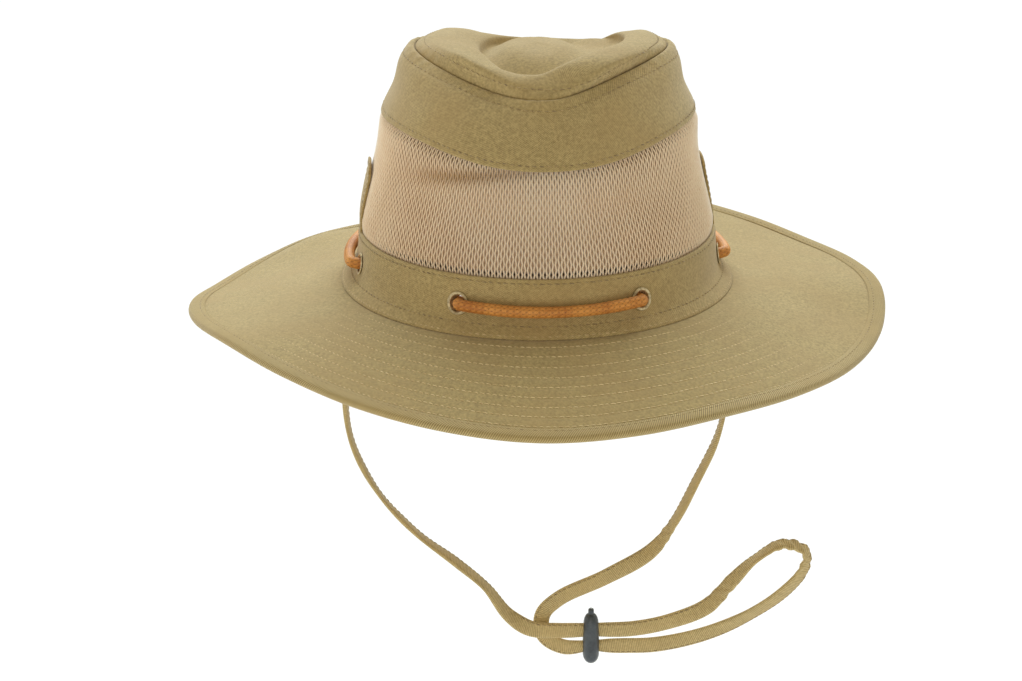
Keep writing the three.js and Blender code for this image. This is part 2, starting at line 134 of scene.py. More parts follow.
def addAttribute(mesh, name, values, kind="FLOAT", key="value"):
    mesh.attributes.new(name, kind, "POINT").data.foreach_set(key, values.astype(np.float32).ravel())


def sealed(mesh):
    # closes poles, and turns every face outwards
    work = bmesh.new()
    work.from_mesh(mesh)
    bmesh.ops.remove_doubles(work, verts=work.verts, dist=sameSpot)
    bmesh.ops.recalc_face_normals(work, faces=work.faces)
    work.to_mesh(mesh)
    work.free()
    mesh.update()
    return mesh


# Numbers

def unit(v):
    return v / np.maximum(np.linalg.norm(v, axis=-1, keepdims=True), 1e-12)


def ridge(x, at, wide, power=2):
    # exp(-|(x - at) / wide| ^ power)
    return np.exp(-np.abs((x - at) / wide) ** power)


def squared(x, power):
    # drives a cosine or sine towards -1 and 1, so that a ring becomes a rounded rectangle
    return np.sign(x) * np.abs(x) ** power


def turnFrom(turn, middle):
    # the turn from a middle, between minus half a turn and half a turn
    return (turn - middle + math.pi) % fullTurn - math.pi


def evenTurns(count):
    return np.linspace(0, fullTurn, count, endpoint=False)


def joined(*parts):
    # arrays that share a shape, as the last axis of one
    return np.stack(np.broadcast_arrays(*parts), -1)


def lengthAlong(line):
    return np.append(0, np.cumsum(np.linalg.norm(np.diff(line, axis=0), axis=1)))


def pointsAt(at, reach, line):
    # the points of a line at distances along it
    return np.stack([np.interp(at, reach, line[:, k]) for k in range(3)], -1)


def cubic(start, end, slope1, slope2, t):
    # from start to end with a slope at each, as t goes from 0 to 1
    square, cube = 3 * (end - start) - 2 * slope1 - slope2, 2 * (start - end) + slope1 + slope2
    return start + slope1 * t + square * t ** 2 + cube * t ** 3


def throughRows(rows, place):
    # a smooth line through the rows (rows, turns, 3), at places counted in rows: a centripetal Catmull-Rom
    # curve, whose slope at a row leans to the nearer neighbour
    last = len(rows) - 1
    ends = [2 * rows[:1] - rows[1:2], rows, 2 * rows[-1:] - rows[-2:-1]]
    rows = np.concatenate(ends)
    index = np.clip(place.astype(int), 0, last - 1)
    share = (place - index)[..., None]
    turn = np.broadcast_to(np.arange(rows.shape[1]), place.shape)
    p = [rows[index + k, turn] for k in range(4)]
    a, b, c = [np.maximum(np.linalg.norm(p[k + 1] - p[k], axis=-1, keepdims=True), 1e-6) ** 0.5
               for k in range(3)]
    slope1 = ((p[1] - p[0]) / a - (p[2] - p[0]) / (a + b) + (p[2] - p[1]) / b) * b
    slope2 = ((p[2] - p[1]) / b - (p[3] - p[1]) / (b + c) + (p[3] - p[2]) / c) * b
    return cubic(p[1], p[2], slope1, slope2, share)


def lineThrough(rows, samples):
    # a smooth line through points, the distance along it, and its places counted in rows
    fine = np.linspace(0, len(rows) - 1, samples)
    line = throughRows(rows[:, None], fine[:, None])[:, 0]
    return line, lengthAlong(line), fine


def capped(rings, centre):
    # rings along a line, with one more at each end that is drawn together into a point
    first, last = (np.repeat(point[None, None], rings.shape[1], 1) for point in (centre[0], centre[-1]))
    return np.concatenate([first, rings, last])


# Chin strap: a flat twill tube from one side of the crown to the other, doubled through the slide
strap = {"width": 8.0, "thick": 2.2, "samples": 4000, "step": 1.4, "sides": 28, "stitchPitch": 2.7,
         "stitchIn": 1.0, "stitchHigh": 0.08, "stitchLevel": 0.444, "pinchWide": 7.5, "pinchTall": 9,
         "crumples": [(15.6, 0.35, 0.8), (18.4, 0.7, 1.0), (19.6, 0.5, 1.0), (32.6, 0.3, 0.6)]}
strapRoute = np.array([      # x, y, z, and how far its broad face is turned from facing the front, in degrees
    [-83.2, 0, 7.5, 90], [-86, 0, -2, 90], [-92.5, -2, -30, 85], [-94.8, -5, -60, 87],
    [-91.4, -8, -84.8, 86], [-79.1, -11, -109.2, 94], [-60.8, -13, -129.7, 92], [-40.4, -14, -145.8, 80],
    [-25.8, -14, -158.8, 78], [-14.5, -14, -174, 55], [-3, -13, -182, 10], [10, -12, -183.4, 0],
    [27, -12, -183.1, 0], [48, -12, -182.6, 0], [66.8, -12, -178.7, 0], [85, -13, -170.5, 25],
    [97, -14, -156.8, 50], [108.4, -15, -144.6, 85], [121.9, -15, -136.6, 76], [133.7, -15, -140.6, 68],
    [132.9, -14, -150.8, 37], [122.9, -13, -163.5, 30], [105.4, -12, -176.2, 28], [83.8, -12, -185.8, 8],
    [60, -12, -191.2, 0], [42, -12, -191.8, 0], [27, -12, -191.7, 0], [13, -11, -192.6, 0],
    [3.6, -7.5, -188, 0], [2.6, -6.5, -177.5, 0], [11, -7.5, -168, 0], [34.7, -8, -156.2, 0],
    [57.2, -8, -142.4, 45], [68.7, -8, -126.6, 78], [78.9, -7, -106.3, 74], [89.3, -5, -83.7, 88],
    [94, -3, -60, 93], [92.5, -1, -30, 90], [86, 0, -2, 90], [83.2, 0, 7.5, 90],
])
slide = {"centre": (27, -12, -187.4), "deeper": 1.25, "sides": 48, "rows": 58, "slotSides": 48, "play": 0.5,
         "strands": 8.6}


def strapStations():
    # centre, way along, way across and way out of the strap at even steps, with the distance and row of each
    line, reach, fine = lineThrough(strapRoute[:, :3], strap["samples"])
    even = np.linspace(0, reach[-1], int(reach[-1] / strap["step"]) + 1)
    centre = pointsAt(even, reach, line)
    row = np.interp(even, reach, fine)
    turn = np.radians(np.interp(row, np.arange(len(strapRoute)), strapRoute[:, 3]))
    soft = np.exp(-np.linspace(-2, 2, 9) ** 2)
    turn = np.convolve(np.pad(turn, 4, mode="edge"), soft / soft.sum(), mode="valid")
    along = unit(np.gradient(centre, axis=0))
    back = np.array([0, 1, 0])
    across = unit(np.cross(along, back)) * np.cos(turn)[:, None] + back * np.sin(turn)[:, None]
    across = unit(across - along * (across * along).sum(1, keepdims=True))
    return centre, along, across, np.cross(along, across), even, row


def strapSurface(stations, a, b):
    # the points at a across and b out of the strap's middle, which is pinched where it goes through the slide,
    # rippled where it bends and crumpled in slanting folds, sin(1.15 reach + 0.9 a), at a few of its rows
    centre, along, across, out, reach, row = stations
    middle = np.array(slide["centre"])
    near = ridge(centre[:, 0], middle[0], strap["pinchWide"])
    near = near * (np.abs(centre[:, 2] - middle[2]) < strap["pinchTall"])
    low = near * (centre[:, 2] < middle[2])
    bend = np.linalg.norm(np.gradient(along, reach, axis=0), axis=1)
    ripple = 0.16 * np.minimum(bend * 30, 1) * np.sin(reach * 1.9)
    pleat = (0.3 * near + 0.4 * low)[:, None] * np.cos(a[None] * 2.6)
    crumple = sum(amount * ridge(row, at, wide) for at, wide, amount in strap["crumples"])
    folds = 0.55 * crumple[:, None] * np.sin(1.15 * reach[:, None] + 0.9 * a)
    wide = a[None] * (1 - 0.1 * near - 0.2 * low - 0.1 * crumple * (1 + np.sin(0.8 * reach)))[:, None]
    crease = (ripple[:, None] + pleat) * (1 - (2 * a / strap["width"]) ** 2) + folds
    thick = b[None] * (1 + 0.12 * np.sin(reach / 5.3))[:, None] + crease
    return centre[:, None] + across[:, None] * wide[..., None] + out[:, None] * thick[..., None]


def strapMesh(stations):
    # a rounded flat section, |2a / width|^4 + |2b / thick|^2.5 = 1, carried along the route
    centre, reach = stations[0], stations[4]
    angle = evenTurns(strap["sides"])
    a = squared(np.cos(angle), 0.5) * strap["width"] / 2
    b = squared(np.sin(angle), 0.8) * strap["thick"] / 2
    girth = lengthAlong(np.stack([np.append(a, a[0]), np.append(b, b[0])], 1))
    length = np.concatenate([[0], reach, [reach[-1]] * 2])
    points = capped(strapSurface(stations, a, b), centre)
    return sealed(gridMesh("chinStrap", points, joined(length[:, None], girth[None])))


# Materials

def colour(r, g, b):
    # linear light from a 0 to 255 colour
    def curve(v):
        v = v / 255
        return v / 12.92 if v <= 0.04045 else ((v + 0.055) / 1.055) ** 2.4
    return (curve(r), curve(g), curve(b), 1.0)


class Surface:
    # a material, with short ways to add the nodes that feed its shader; sizes and depths are in millimetres

    def __init__(self, name, roughness, sheen=0.0):
        self.material = bpy.data.materials.new(name)
        self.material.use_nodes = True
        self.tree = self.material.node_tree
        self.places = self.node("TexCoord", {}).outputs
        self.feed({"Roughness": roughness, "Sheen Weight": sheen, "Sheen Roughness": 0.5})

    def join(self, inputs, values):
        # gives inputs their values, or the sockets that feed them
        for key, value in values.items():
            if isinstance(value, bpy.types.NodeSocket):
                self.tree.links.new(value, inputs[key])
            else:
                inputs[key].default_value = value

    def feed(self, values):
        self.join(self.tree.nodes["Principled BSDF"].inputs, values)

    def node(self, kind, values, **settings):
        made = self.tree.nodes.new("ShaderNode" + kind)
        for key, value in settings.items():
            setattr(made, key, value)
        self.join(made.inputs, values)
        return made

    def mix(self, share, *ends):
        # between two colours, each given from 0 to 255 or as a socket
        first, second = (colour(*end) if isinstance(end, tuple) else end for end in ends)
        return self.node("Mix", {0: share, 6: first, 7: second}, data_type="RGBA").outputs[2]

    def add(self, parts):
        # the sum of sockets, each times a weight
        total = 0.0
        for socket, weight in parts:
            total = self.node("Math", {0: socket, 1: weight, 2: total}, operation="MULTIPLY_ADD").outputs[0]
        return total

    def between(self, socket, low, high, toLow=0, toHigh=1):
        # low to high becomes toLow to toHigh
        return self.node("MapRange", {0: socket, 1: low, 2: high, 3: toLow, 4: toHigh}).outputs[0]

    def attribute(self, name, output="Fac"):
        return self.node("Attribute", {}, attribute_name=name).outputs[output]

    def ribs(self, where, pitch, turned, rough):
        # straight ribs of a pitch, turned in degrees, from 0 in the grooves to 1 on the ribs
        placed = self.node("Mapping", {"Vector": where, "Rotation": (0, 0, math.radians(turned))})
        values = {"Vector": placed.outputs[0], "Scale": math.pi / 10 / (pitch * mm), "Distortion": rough,
                  "Detail": 1.0, "Detail Scale": 1.5}
        return self.node("TexWave", values, wave_type="BANDS").outputs[1]

    def noise(self, size, detail=2.0):
        # soft spots of a size
        values = {"Vector": self.places["Object"], "Scale": 1 / (size * mm), "Detail": detail}
        return self.node("TexNoise", values).outputs[0]

    def finish(self, base, height=None, strength=0.0, depth=0.0):
        # the base colour, and the relief where there is one
        self.feed({"Base Color": base})
        if height is not None:
            bump = self.node("Bump", {"Height": height, "Strength": strength, "Distance": depth * mm})
            self.feed({"Normal": bump.outputs[0]})
        return self.material


twillLook = {"light": (204, 182, 126), "dark": (148, 128, 81), "warm": (178, 150, 97), "pitch": 0.8,
             "turned": 58, "relief": 0.16, "roughness": 0.88, "sheen": 0.25, "weave": (0.2, 0.14, 0.66)}


def twillMaterial(name, coordinates, look):
    # ribs on the slant crossed by faint threads, over wide soft patches and a fine slubby grain
    made = Surface(name, look["roughness"], look["sheen"])
    if coordinates == "clothPlace":
        where = made.attribute(coordinates, "Vector")
    else:
        where = made.places[coordinates]
    ribs = made.ribs(where, look["pitch"], look["turned"], 0.6)
    threads = made.ribs(where, look["pitch"] * 0.8, look["turned"] + 75, 0.9)
    grain, slubs, patches = made.noise(1.3, 3), made.noise(5), made.noise(34)
    weave = made.add(zip((ribs, threads, grain), look["weave"]))
    base = made.mix(made.between(weave, 0.32, 0.68), look["dark"], look["light"])
    warmed = made.mix(made.between(patches, 0.42, 0.68, 0, 0.45), base, look["warm"])
    shaded = made.mix(made.between(slubs, 0.3, 0.7, 0, 0.2), warmed, look["dark"])
    height = made.add([(ribs, 0.6), (threads, 0.25), (grain, 0.5), (slubs, 0.6)])
    return made.finish(shaded, height, 0.6, look["relief"])


# the brim's copy of the twill is a shade darker and greener: painted shade for the slanting light on the brim
brimShadeLook = {**twillLook, "light": (201, 181, 124), "dark": (146, 127, 80), "warm": (175, 149, 96)}
flatTwill = twillMaterial("twillCutFlat", "Object", brimShadeLook)
tipTwill = twillMaterial("twillOfTip", "clothPlace", twillLook)
roundTwill = twillMaterial("twillCutRound", "UV", twillLook)
strapLook = {**twillLook, "light": (222, 201, 145), "dark": (160, 139, 91), "warm": (200, 174, 116),
             "pitch": 0.9, "turned": 9, "relief": 0.24, "weave": (0.36, 0.14, 0.5)}
strapTwill = twillMaterial("strapTwill", "UV", strapLook)
bindingLook = {**twillLook, "light": (207, 187, 131), "dark": (141, 121, 74), "warm": (178, 152, 94),
               "pitch": 1.0, "turned": 30, "relief": 0.34, "weave": (0.85, 0.0, 0.15)}
bindingTwill = twillMaterial("bindingRibs", "UV", bindingLook)

threadLook = {"light": (246, 228, 176), "dark": (212, 188, 132), "roughness": 0.6, "sheen": 0.2}


def threadMaterial(name, look):
    # plied sewing thread, a little uneven in colour
    made = Surface(name, look["roughness"], look["sheen"])
    thread = made.mix(made.between(made.noise(2.5), 0.35, 0.65), look["dark"], look["light"])
    if "worn" in look:
        thread = made.mix(made.attribute("worn"), thread, look["worn"])
    return made.finish(thread)


brimThread = threadMaterial("brimThread", {**threadLook, "worn": (196, 172, 118)})
sewingThread = threadMaterial("sewingThread", threadLook)
hemThread = threadMaterial("hemThread", {**threadLook, "light": (222, 200, 148), "dark": (178, 154, 106)})
darkThread = threadMaterial("shadedThread", {**threadLook, "light": (180, 156, 104), "dark": (128, 108, 68)})

# The chin strap comes first, because its room is settled with the camera.
stations = strapStations()
chinStrap = addPiece(strapMesh(stations), strapTwill, ["chin_strap"])
print("chin strap made,", round(stations[4][-1]), "mm long")


# The hat's faces

crownLevels = [      # level, z, w, front, back, dipF, wideF, dipB, taper, skew, aside
    ("hem", 0, 95.4, 115.8, 115.8, 0, 1, 0, 0, 0, 0),
    ("flare", 6.5, 89, 109.7, 109.7, 0, 1, 0, 0, 0, 0),
    ("waist", 15, 87, 107.4, 107.4, 0, 1, 0, 0, 0, 0),
    ("bandTop", 25.2, 86, 106, 106, 0, 0.8, 0, 0, 0, 0),
    ("meshLow", 42, 82.6, 103.4, 102.5, 2.5, 0.8, 2, 0.01, 0.05, 0),
    ("meshHigh", 64, 77.8, 99, 97.5, 7.5, 0.8, 6, 0.04, 0.05, 0),
    ("meshTop", 82, 75.2, 94.4, 93, 10.4, 0.8, 10, 0.06, 0.05, 0),
    ("sideMid", 97, 70, 85.5, 84, 11.6, 0.8, 13, 0.08, 0.02, 0),
    ("sideHigh", 109, 66.2, 76.8, 76.9, 13, 0.9, 14, 0.2, -0.05, 1.2),
    ("seam", 114, 60.6, 73.4, 74, 14, 1, 14.5, 0.38, -0.1, 2),
    ("shoulder", 115.8, 54.5, 69.2, 68.5, 10.7, 0.55, 13, 0.08, -0.05, 3.8),
    ("crest", 117, 40.9, 60.1, 60.5, 8.1, 0.7, 18, 0.34, -0.29, 1.3),
    ("slope", 111.7, 34.6, 52, 55, 10.6, 0.65, 5.5, 0, -0.13, 6.5),
    ("valley", 107, 27, 42, 47, 9, 0.82, 2, 0, -0.14, 1),
    ("mound", 111.6, 12.5, 14, 33.7, 2.5, 0.9, 1, 0, 0, 0),
    ("top", 112, 0, -12, 12, 0, 1, 0, 0, 0, 0),
]
brimLevels = [      # level, z, w, front, back, drop, corner, hump
    ("rim", 0, 169.5, 187.7, 187.1, 1, -0.07, 0),
    ("outer", 0, 152, 170.6, 170, 0.78, -0.05, 3.9),
    ("middle", -0.2, 124, 143.4, 143, 0.38, -0.02, 1.5),
    ("joint", -0.5, 96.2, 116.6, 116.6, 0, 0, 0),
    ("fold", -0.4, 91.9, 112.4, 112.4, 0, 0, 0),
    ("rise", 3, 89.1, 109.8, 109.8, 0, 0, 0),
    ("collar", 5.6, 87.2, 108, 108, 0, 0, 0),
]
# the rim's height at every 15 degrees from +X
rimHeights = [-8.3, -7.2, -6.9, -3.5, -0.9, -2.7, -5.8, -9.4, -12.6, -13.6, -17.2, -18.8,
              -14.4, -10.2, -7.3, -10.6, -15.7, -19.8, -22.4, -21.7, -20.2, -20.9, -20.8, -16.5]
hump = {"turn": 2.48, "wide": 0.2}
dips = {"power": 2.5, "backWide": 0.85, "backSkew": -0.1}
walls = {"gap": 0.3, "twill": 1.4, "band": 1.8, "brim": 1.5, "tape": 0.8, "tapeWidth": 8.4}


def columns(levels):
    return [np.array(column, float)[:, None] for column in list(zip(*levels))[1:]]


def dip(turn, middle, wide):
    # 1 in the middle, with a flat bottom, falling to 0 on both sides
    return ridge(turnFrom(turn, middle), 0, wide, dips["power"])


def crownRows(turn):
    # every level is an ellipse of half width w, reaching front and back, sunk by a dip at both ends
    z, w, ahead, behind, dipF, wideF, dipB, taper, skew, aside = columns(crownLevels)
    c, s = np.cos(turn), np.sin(turn)
    x = aside + w * c * (1 - taper * np.maximum(0, -s) ** 2)
    y = (behind - ahead) / 2 + (behind + ahead) / 2 * s
    z = z - dipF * dip(turn, front + skew, wideF) - dipB * dip(turn, dips["backSkew"] - front, dips["backWide"])
    return joined(x, y, z)


def rimHeight(turn):
    # a smooth closed curve through the rim's heights
    count = len(rimHeights)
    place = np.asarray(turn) / fullTurn % 1 * count
    index = place.astype(int)
    k = [np.array(rimHeights)[(index + step) % count] for step in (-1, 0, 1, 2)]
    return cubic(k[1], k[2], (k[2] - k[0]) / 2, (k[3] - k[1]) / 2, place - index)


def brimRows(turn):
    # every level is an ellipse drawn in at the quarters, sinks by its share of the rim's own height, and
    # stands up in one hump at the back
    z, w, ahead, behind, drop, corner, high = columns(brimLevels)
    c, s = np.cos(turn), np.sin(turn)
    x = w * c * (1 + corner * s * s)
    y = ((behind - ahead) / 2 + (behind + ahead) / 2 * s) * (1 + corner * c * c)
    z = z + drop * rimHeight(turn) + high * ridge(turnFrom(turn, hump["turn"]), 0, hump["wide"])
    return joined(x, y, z)


class Face:
    # a smooth face through levels; a point on it is given by its turn and by its distance in millimetres
    # along the cloth, from the first level

    def __init__(self, levels, rowsAt):
        self.names = [level[0] for level in levels]
        self.rowsAt = rowsAt

    def reach(self, turn):
        rows = self.rowsAt(turn)
        steps = np.linalg.norm(np.diff(rows, axis=0), axis=-1)
        return np.concatenate([np.zeros((1, rows.shape[1])), np.cumsum(steps, 0)])

    def level(self, turn, name, along=0.0):
        return self.reach(turn)[self.names.index(name)] + along

    def past(self, turn, distance, name):
        # how far a distance lies past a level
        return distance - self.level(turn.ravel(), name)[None]

    def place(self, turn, distance):
        reach = self.reach(turn)
        index = np.clip((reach[:, None] <= distance[None] + 1e-9).sum(0) - 1, 0, len(reach) - 2)
        column = np.broadcast_to(np.arange(reach.shape[1]), index.shape)
        low, high = reach[index, column], reach[index + 1, column]
        return index + np.clip((distance - low) / (high - low), 0, 1)

    def points(self, turn, distance, lift=0.0):
        # points and the way out at each: the way round x the way along, both taken over a small step
        place, here, small = self.place(turn, distance), self.rowsAt(turn), 0.01
        ahead, behind = (throughRows(self.rowsAt(turn + step), place) for step in (small, -small))
        last = len(self.names) - 1
        further, nearer = (throughRows(here, np.clip(place + step, 0, last)) for step in (small, -small))
        across = ahead - behind
        out = unit(np.cross(across, further - nearer))
        flat = np.linalg.norm(across, axis=-1) < 1e-6
        out[flat] = (0, 0, 1)
        return throughRows(here, place) + out * np.asarray(lift)[..., None], out


crown = Face(crownLevels, crownRows)
brim = Face(brimLevels, brimRows)


def clothWall(name, face, section, look, relief=None):
    # a closed section carried round the hat. Its rows are level, distance past it, lift, how much of the
    # relief they take, and the number of steps to the next row. The look says how many turns it has and its
    # girth, the length of cloth once round; relief is a height in millimetres by turn and distance
    turn = evenTurns(look["turns"])
    starts = np.array([[face.level(turn, level, along), high + 0 * turn, felt + 0 * turn]
                       for level, along, high, felt, _ in section])
    runs = [here + (there - here) * (np.arange(row[-1]) / row[-1])[:, None, None]
            for row, here, there in zip(section, starts, np.roll(starts, -1, 0))]
    distance, lift, felt = np.concatenate(runs).transpose(1, 0, 2)
    if relief:
        lift = lift + felt * relief(turn[None], distance)
    points, _ = face.points(turn, distance, lift)
    steps = np.linalg.norm(np.diff(points, axis=0, append=points[:1]), axis=-1).mean(1)
    wrap = np.append(turn, fullTurn) / fullTurn * look["girth"]
    uv = joined(wrap[None], np.append(0, np.cumsum(steps))[:, None])
    return gridMesh(name, points, uv, closeRows=True), turn, distance


stitchShape = {"pitch": 3.3, "share": 0.8, "wide": 0.3, "high": 0.26, "sides": 4, "sunk": 0.06, "skew": 0.18,
               "flat": 0.8, "uneven": (0.05, 0.06)}
stitchRings = np.array([(-1, 0.12, -0.4), (-0.75, 0.8, 0.5), (0, 1, 1), (0.75, 0.8, 0.5), (1, 0.12, -0.4)])
lineSteps = 1440


def stitchMesh(name, lines, **changes):
    # short bowed threads in rows along closed or open lines; each line is (points, ways out), and a thread is
    # swept through rings, each (place along it, size, share of the bow)
    look = {**stitchShape, **changes}
    angle = evenTurns(look["sides"])
    place, size, bow = stitchRings.T
    arch = (bow * look["high"] - look["sunk"])[None, :, None, None]
    skewed = (place * look["skew"])[None, :, None, None]
    broad, tall = (part[:, None] * look["wide"] for part in (np.cos(angle), np.sin(angle)))
    size = size[None, :, None, None]
    made = []
    for line, out in lines:
        reach = lengthAlong(line)
        count = max(int(reach[-1] / look["pitch"]), 1)
        pitch = reach[-1] / count
        middle = (np.arange(count) + 0.5) * pitch + random.normal(0, look["uneven"][0], count)
        half = pitch * look["share"] / 2 * (1 + random.normal(0, look["uneven"][1], count))
        along = middle[:, None] + half[:, None] * place
        centre = pointsAt(along, reach, line)
        up = unit(pointsAt(along, reach, out))
        side = unit(np.cross(unit(centre[:, -1:] - centre[:, :1]), up))
        ring = side[:, :, None] * (broad * size + skewed) + up[:, :, None] * (tall * look["flat"] * size + arch)
        made.append(centre[:, :, None] + ring)
    return tubeMesh(name, np.concatenate(made))


def stitchLine(face, level, along, lift, relief=None):
    # the line of a row of stitches round the hat, and the way out along it
    turn = np.linspace(0, fullTurn, lineSteps)
    distance = face.level(turn, level, along)[None]
    height = np.full_like(distance, lift)
    if relief:
        height = height + relief(turn[None], distance)
    points, out = face.points(turn, distance, height)
    return points[0], out[0]


# Brim: two quilted layers of twill, with a bound edge
brimLook = {"rows": 9, "firstRow": 7.0, "rowGap": 7.15, "radial": 74.0, "groove": 0.1, "grooveWide": 1.5,
            "turns": 440, "girth": 950, "clear": 0.85, "pulled": 0.36}
brimStitch = {"pitch": 2.75, "sides": 3, "high": 0.2, "sunk": 0.0}
bindingLook.update(turns=768, girth=1120, nose=1.7, steps=11, pressed=0.2, stitchIn=2.4, stitchSunk=0.36)


def rowsSeen(turn):
    # the rows of stitches stand out in front, and are pulled in and worn at the sides and the back
    return ridge(turnFrom(turn, front), 0, brimLook["clear"], 4)


def brimQuilt(turn, distance):
    # grooves along the rows of stitches, which keep their share of the way from the joint out to the rim, and
    # a slow swell in between
    whole = brim.level(turn.ravel(), "joint")[None]
    inward = (1 - distance / whole) * brimLook["radial"] - brimLook["firstRow"]
    row = np.clip(np.round(inward / brimLook["rowGap"]), 0, brimLook["rows"] - 1)
    away = inward - row * brimLook["rowGap"]
    swell = 0.12 * np.sin(7 * turn + distance / 9) * np.sin(3 * turn - distance / 14)
    deep = brimLook["groove"] * (0.1 + 0.9 * rowsSeen(turn))
    return swell - deep * ridge(away, 0, brimLook["grooveWide"])


def makeBrim():
    inside, edge = -walls["brim"], walls["tape"] + walls["gap"]
    section = [
        ("rim", edge, 0, 0, 5), ("rim", 7, 0, 1, 44), ("middle", 0, 0, 1, 32), ("joint", 0, 0, 0.3, 4),
        ("fold", 0, 0, 0, 3), ("rise", 0, 0, 0, 2), ("collar", 0, 0, 0, 1),
        ("collar", 0, inside, 0, 2), ("rise", 0, inside, 0, 3), ("fold", 0, inside, 0, 4),
        ("joint", 0, inside, -0.3, 22), ("middle", 0, inside, -1, 32), ("rim", 7, inside, -1, 4),
        ("rim", edge, inside, 0, 1),
    ]
    mesh = clothWall("brimCloth", brim, section, brimLook, brimQuilt)[0]
    addPiece(mesh, flatTwill, ["brim"])


def makeBinding():
    # a tape folded over the rim: half an ellipse for its nose, and a flat flange above and below, whose edges
    # are pressed down on the cloth
    middle, inner = -walls["brim"] / 2, walls["brim"] / 2 + walls["gap"]
    high, wide, nose = inner + walls["tape"], walls["tapeWidth"], bindingLook["nose"]
    bow = [("rim", nose * (1 - math.cos(a)), middle + high * math.sin(a), 0, 1)
           for a in np.linspace(-math.pi / 2, math.pi / 2, bindingLook["steps"])]
    flange = [(nose + 1.6, 0.04), (wide - 4, -0.1), (wide - 2.6, -0.25), (wide - 1.4, -0.45),
              (wide - 0.5, -0.7), (wide, -0.95)]
    top = [("rim", along, middle + high + lift, 0, 1) for along, lift in flange]
    under = [("rim", along, middle - high - lift, 0, 1) for along, lift in flange[::-1]]
    pressed, crease = inner - bindingLook["pressed"], walls["tape"] + 0.2
    hollow = [("rim", wide, middle + pressed, 0, 3), ("rim", crease, middle + inner, 0, 1),
              ("rim", crease, middle - inner, 0, 3), ("rim", wide, middle - pressed, 0, 1)]
    mesh = clothWall("brimBinding", brim, bow + top + hollow + under, bindingLook)[0]
    addPiece(mesh, bindingTwill, ["brim_binding"])


def brimStitches():
    turn = np.linspace(0, fullTurn, lineSteps)
    whole = brim.level(turn, "joint")[None]
    for side, name in ((1, "brimStitches"), (-1, "brimStitchesUnder")):
        lines = []
        for k in range(brimLook["rows"]):
            distance = whole * (1 - (brimLook["firstRow"] + k * brimLook["rowGap"]) / brimLook["radial"])
            dent = brimQuilt(turn[None], distance) - brimLook["pulled"] * (1 - rowsSeen(turn))
            points, out = brim.points(turn, distance, dent if side > 0 else -walls["brim"] - dent)
            lines.append((points[0], side * out[0]))
        mesh = stitchMesh(name, lines, **brimStitch)
        corners = np.empty(3 * len(mesh.vertices), np.float32)
        mesh.vertices.foreach_get("co", corners)
        x, y = corners.reshape(-1, 3).T[:2]
        addAttribute(mesh, "worn", 1 - rowsSeen(np.arctan2(y, x)))
        addPiece(mesh, brimThread)
    along = walls["tapeWidth"] - bindingLook["stitchIn"]
    lift = walls["gap"] + walls["tape"] - bindingLook["stitchSunk"]
    foot, out = stitchLine(brim, "rim", along, -walls["brim"] - lift)
    lines = [stitchLine(brim, "rim", along, lift), (foot, -out)]
    addPiece(stitchMesh("bindingStitches", lines, pitch=2.9, high=0.12), darkThread)


makeBrim()
makeBinding()
brimStitches()
print("brim made")


# Crown band: twill folded double, pierced by the eyelets
eyelets = {"turns": [-29.6, 27, 79.3, 131, 155, 205, 229, 280.7], "skew": 4.6, "along": -2.8, "hole": 4.75,
           "bore": 3.9, "throat": 3.35, "flange": 5.4, "plate": 0.55, "gap": 0.6, "sides": 40, "rollSteps": 11,
           "holeSides": 28, "holeDeep": 5}
bandLook = {"turns": 640, "girth": 560, "channels": (1.5, 6.6, -2.0), "channelWide": 0.9, "channelDeep": 0.16}


def behindEnds(turn):
    # 1 a little behind the crown's left and right ends, 0 elsewhere
    return ridge(np.arcsin(np.clip(np.sin(turn), -1, 1)), 0.5, 0.38)


def softSway(turn, distance):
    # the slow unevenness of worn cloth; the crown is flatter high on its left and fuller by the mesh's upper
    # edge on its right, and its top seam dips behind each end
    seam, hem = crown.past(turn, distance, "seam"), crown.past(turn, distance, "meshTop")
    fromLeft = np.abs(turn % fullTurn - math.pi)
    flat = ridge(fromLeft, 0, 0.75) * ridge(seam, -21, 11)
    full = ridge(fromLeft, math.pi, 0.6) * ridge(hem, 0, 11)
    sunk = behindEnds(turn) * ridge(seam, 0, 5.5)
    return (0.22 * np.sin(4 * turn + 0.8) * np.sin(distance / 15) + 0.14 * np.sin(9 * turn + distance / 11)
            + 0.08 * np.sin(17 * turn - distance / 7) - 1.9 * flat + 1.5 * full - 1.6 * sunk)


def bandRelief(turn, distance):
    # a slow sway, and a channel along each row of stitches: two up from the hem, and one below the top
    low, middle, high = bandLook["channels"]
    wide = bandLook["channelWide"]
    channels = (ridge(distance, low, wide) + ridge(distance, middle, wide)
                + ridge(crown.past(turn, distance, "bandTop"), high, wide))
    return 0.6 * softSway(turn, distance) - bandLook["channelDeep"] * channels


def eyeletFrames():
    # the middle of each eyelet on the band's face, and the way out there
    turn = front + np.radians(np.array(eyelets["turns"]) + eyelets["skew"])
    points, out = crown.points(turn, crown.level(turn, "waist", eyelets["along"])[None])
    return turn, points[0], out[0]


def lathe(profile, sides, centre, axis=(0, 0, 1), deeper=1.0):
    # a closed outline of (radius, height) turned round an axis
    angle = evenTurns(sides)
    r, h = np.array(profile, float).T[..., None]
    turned = np.array(Vector((0, 0, 1)).rotation_difference(Vector(axis)).to_matrix())
    return joined(r * np.cos(angle), r * np.sin(angle) * deeper, h) @ turned.T + np.array(centre)


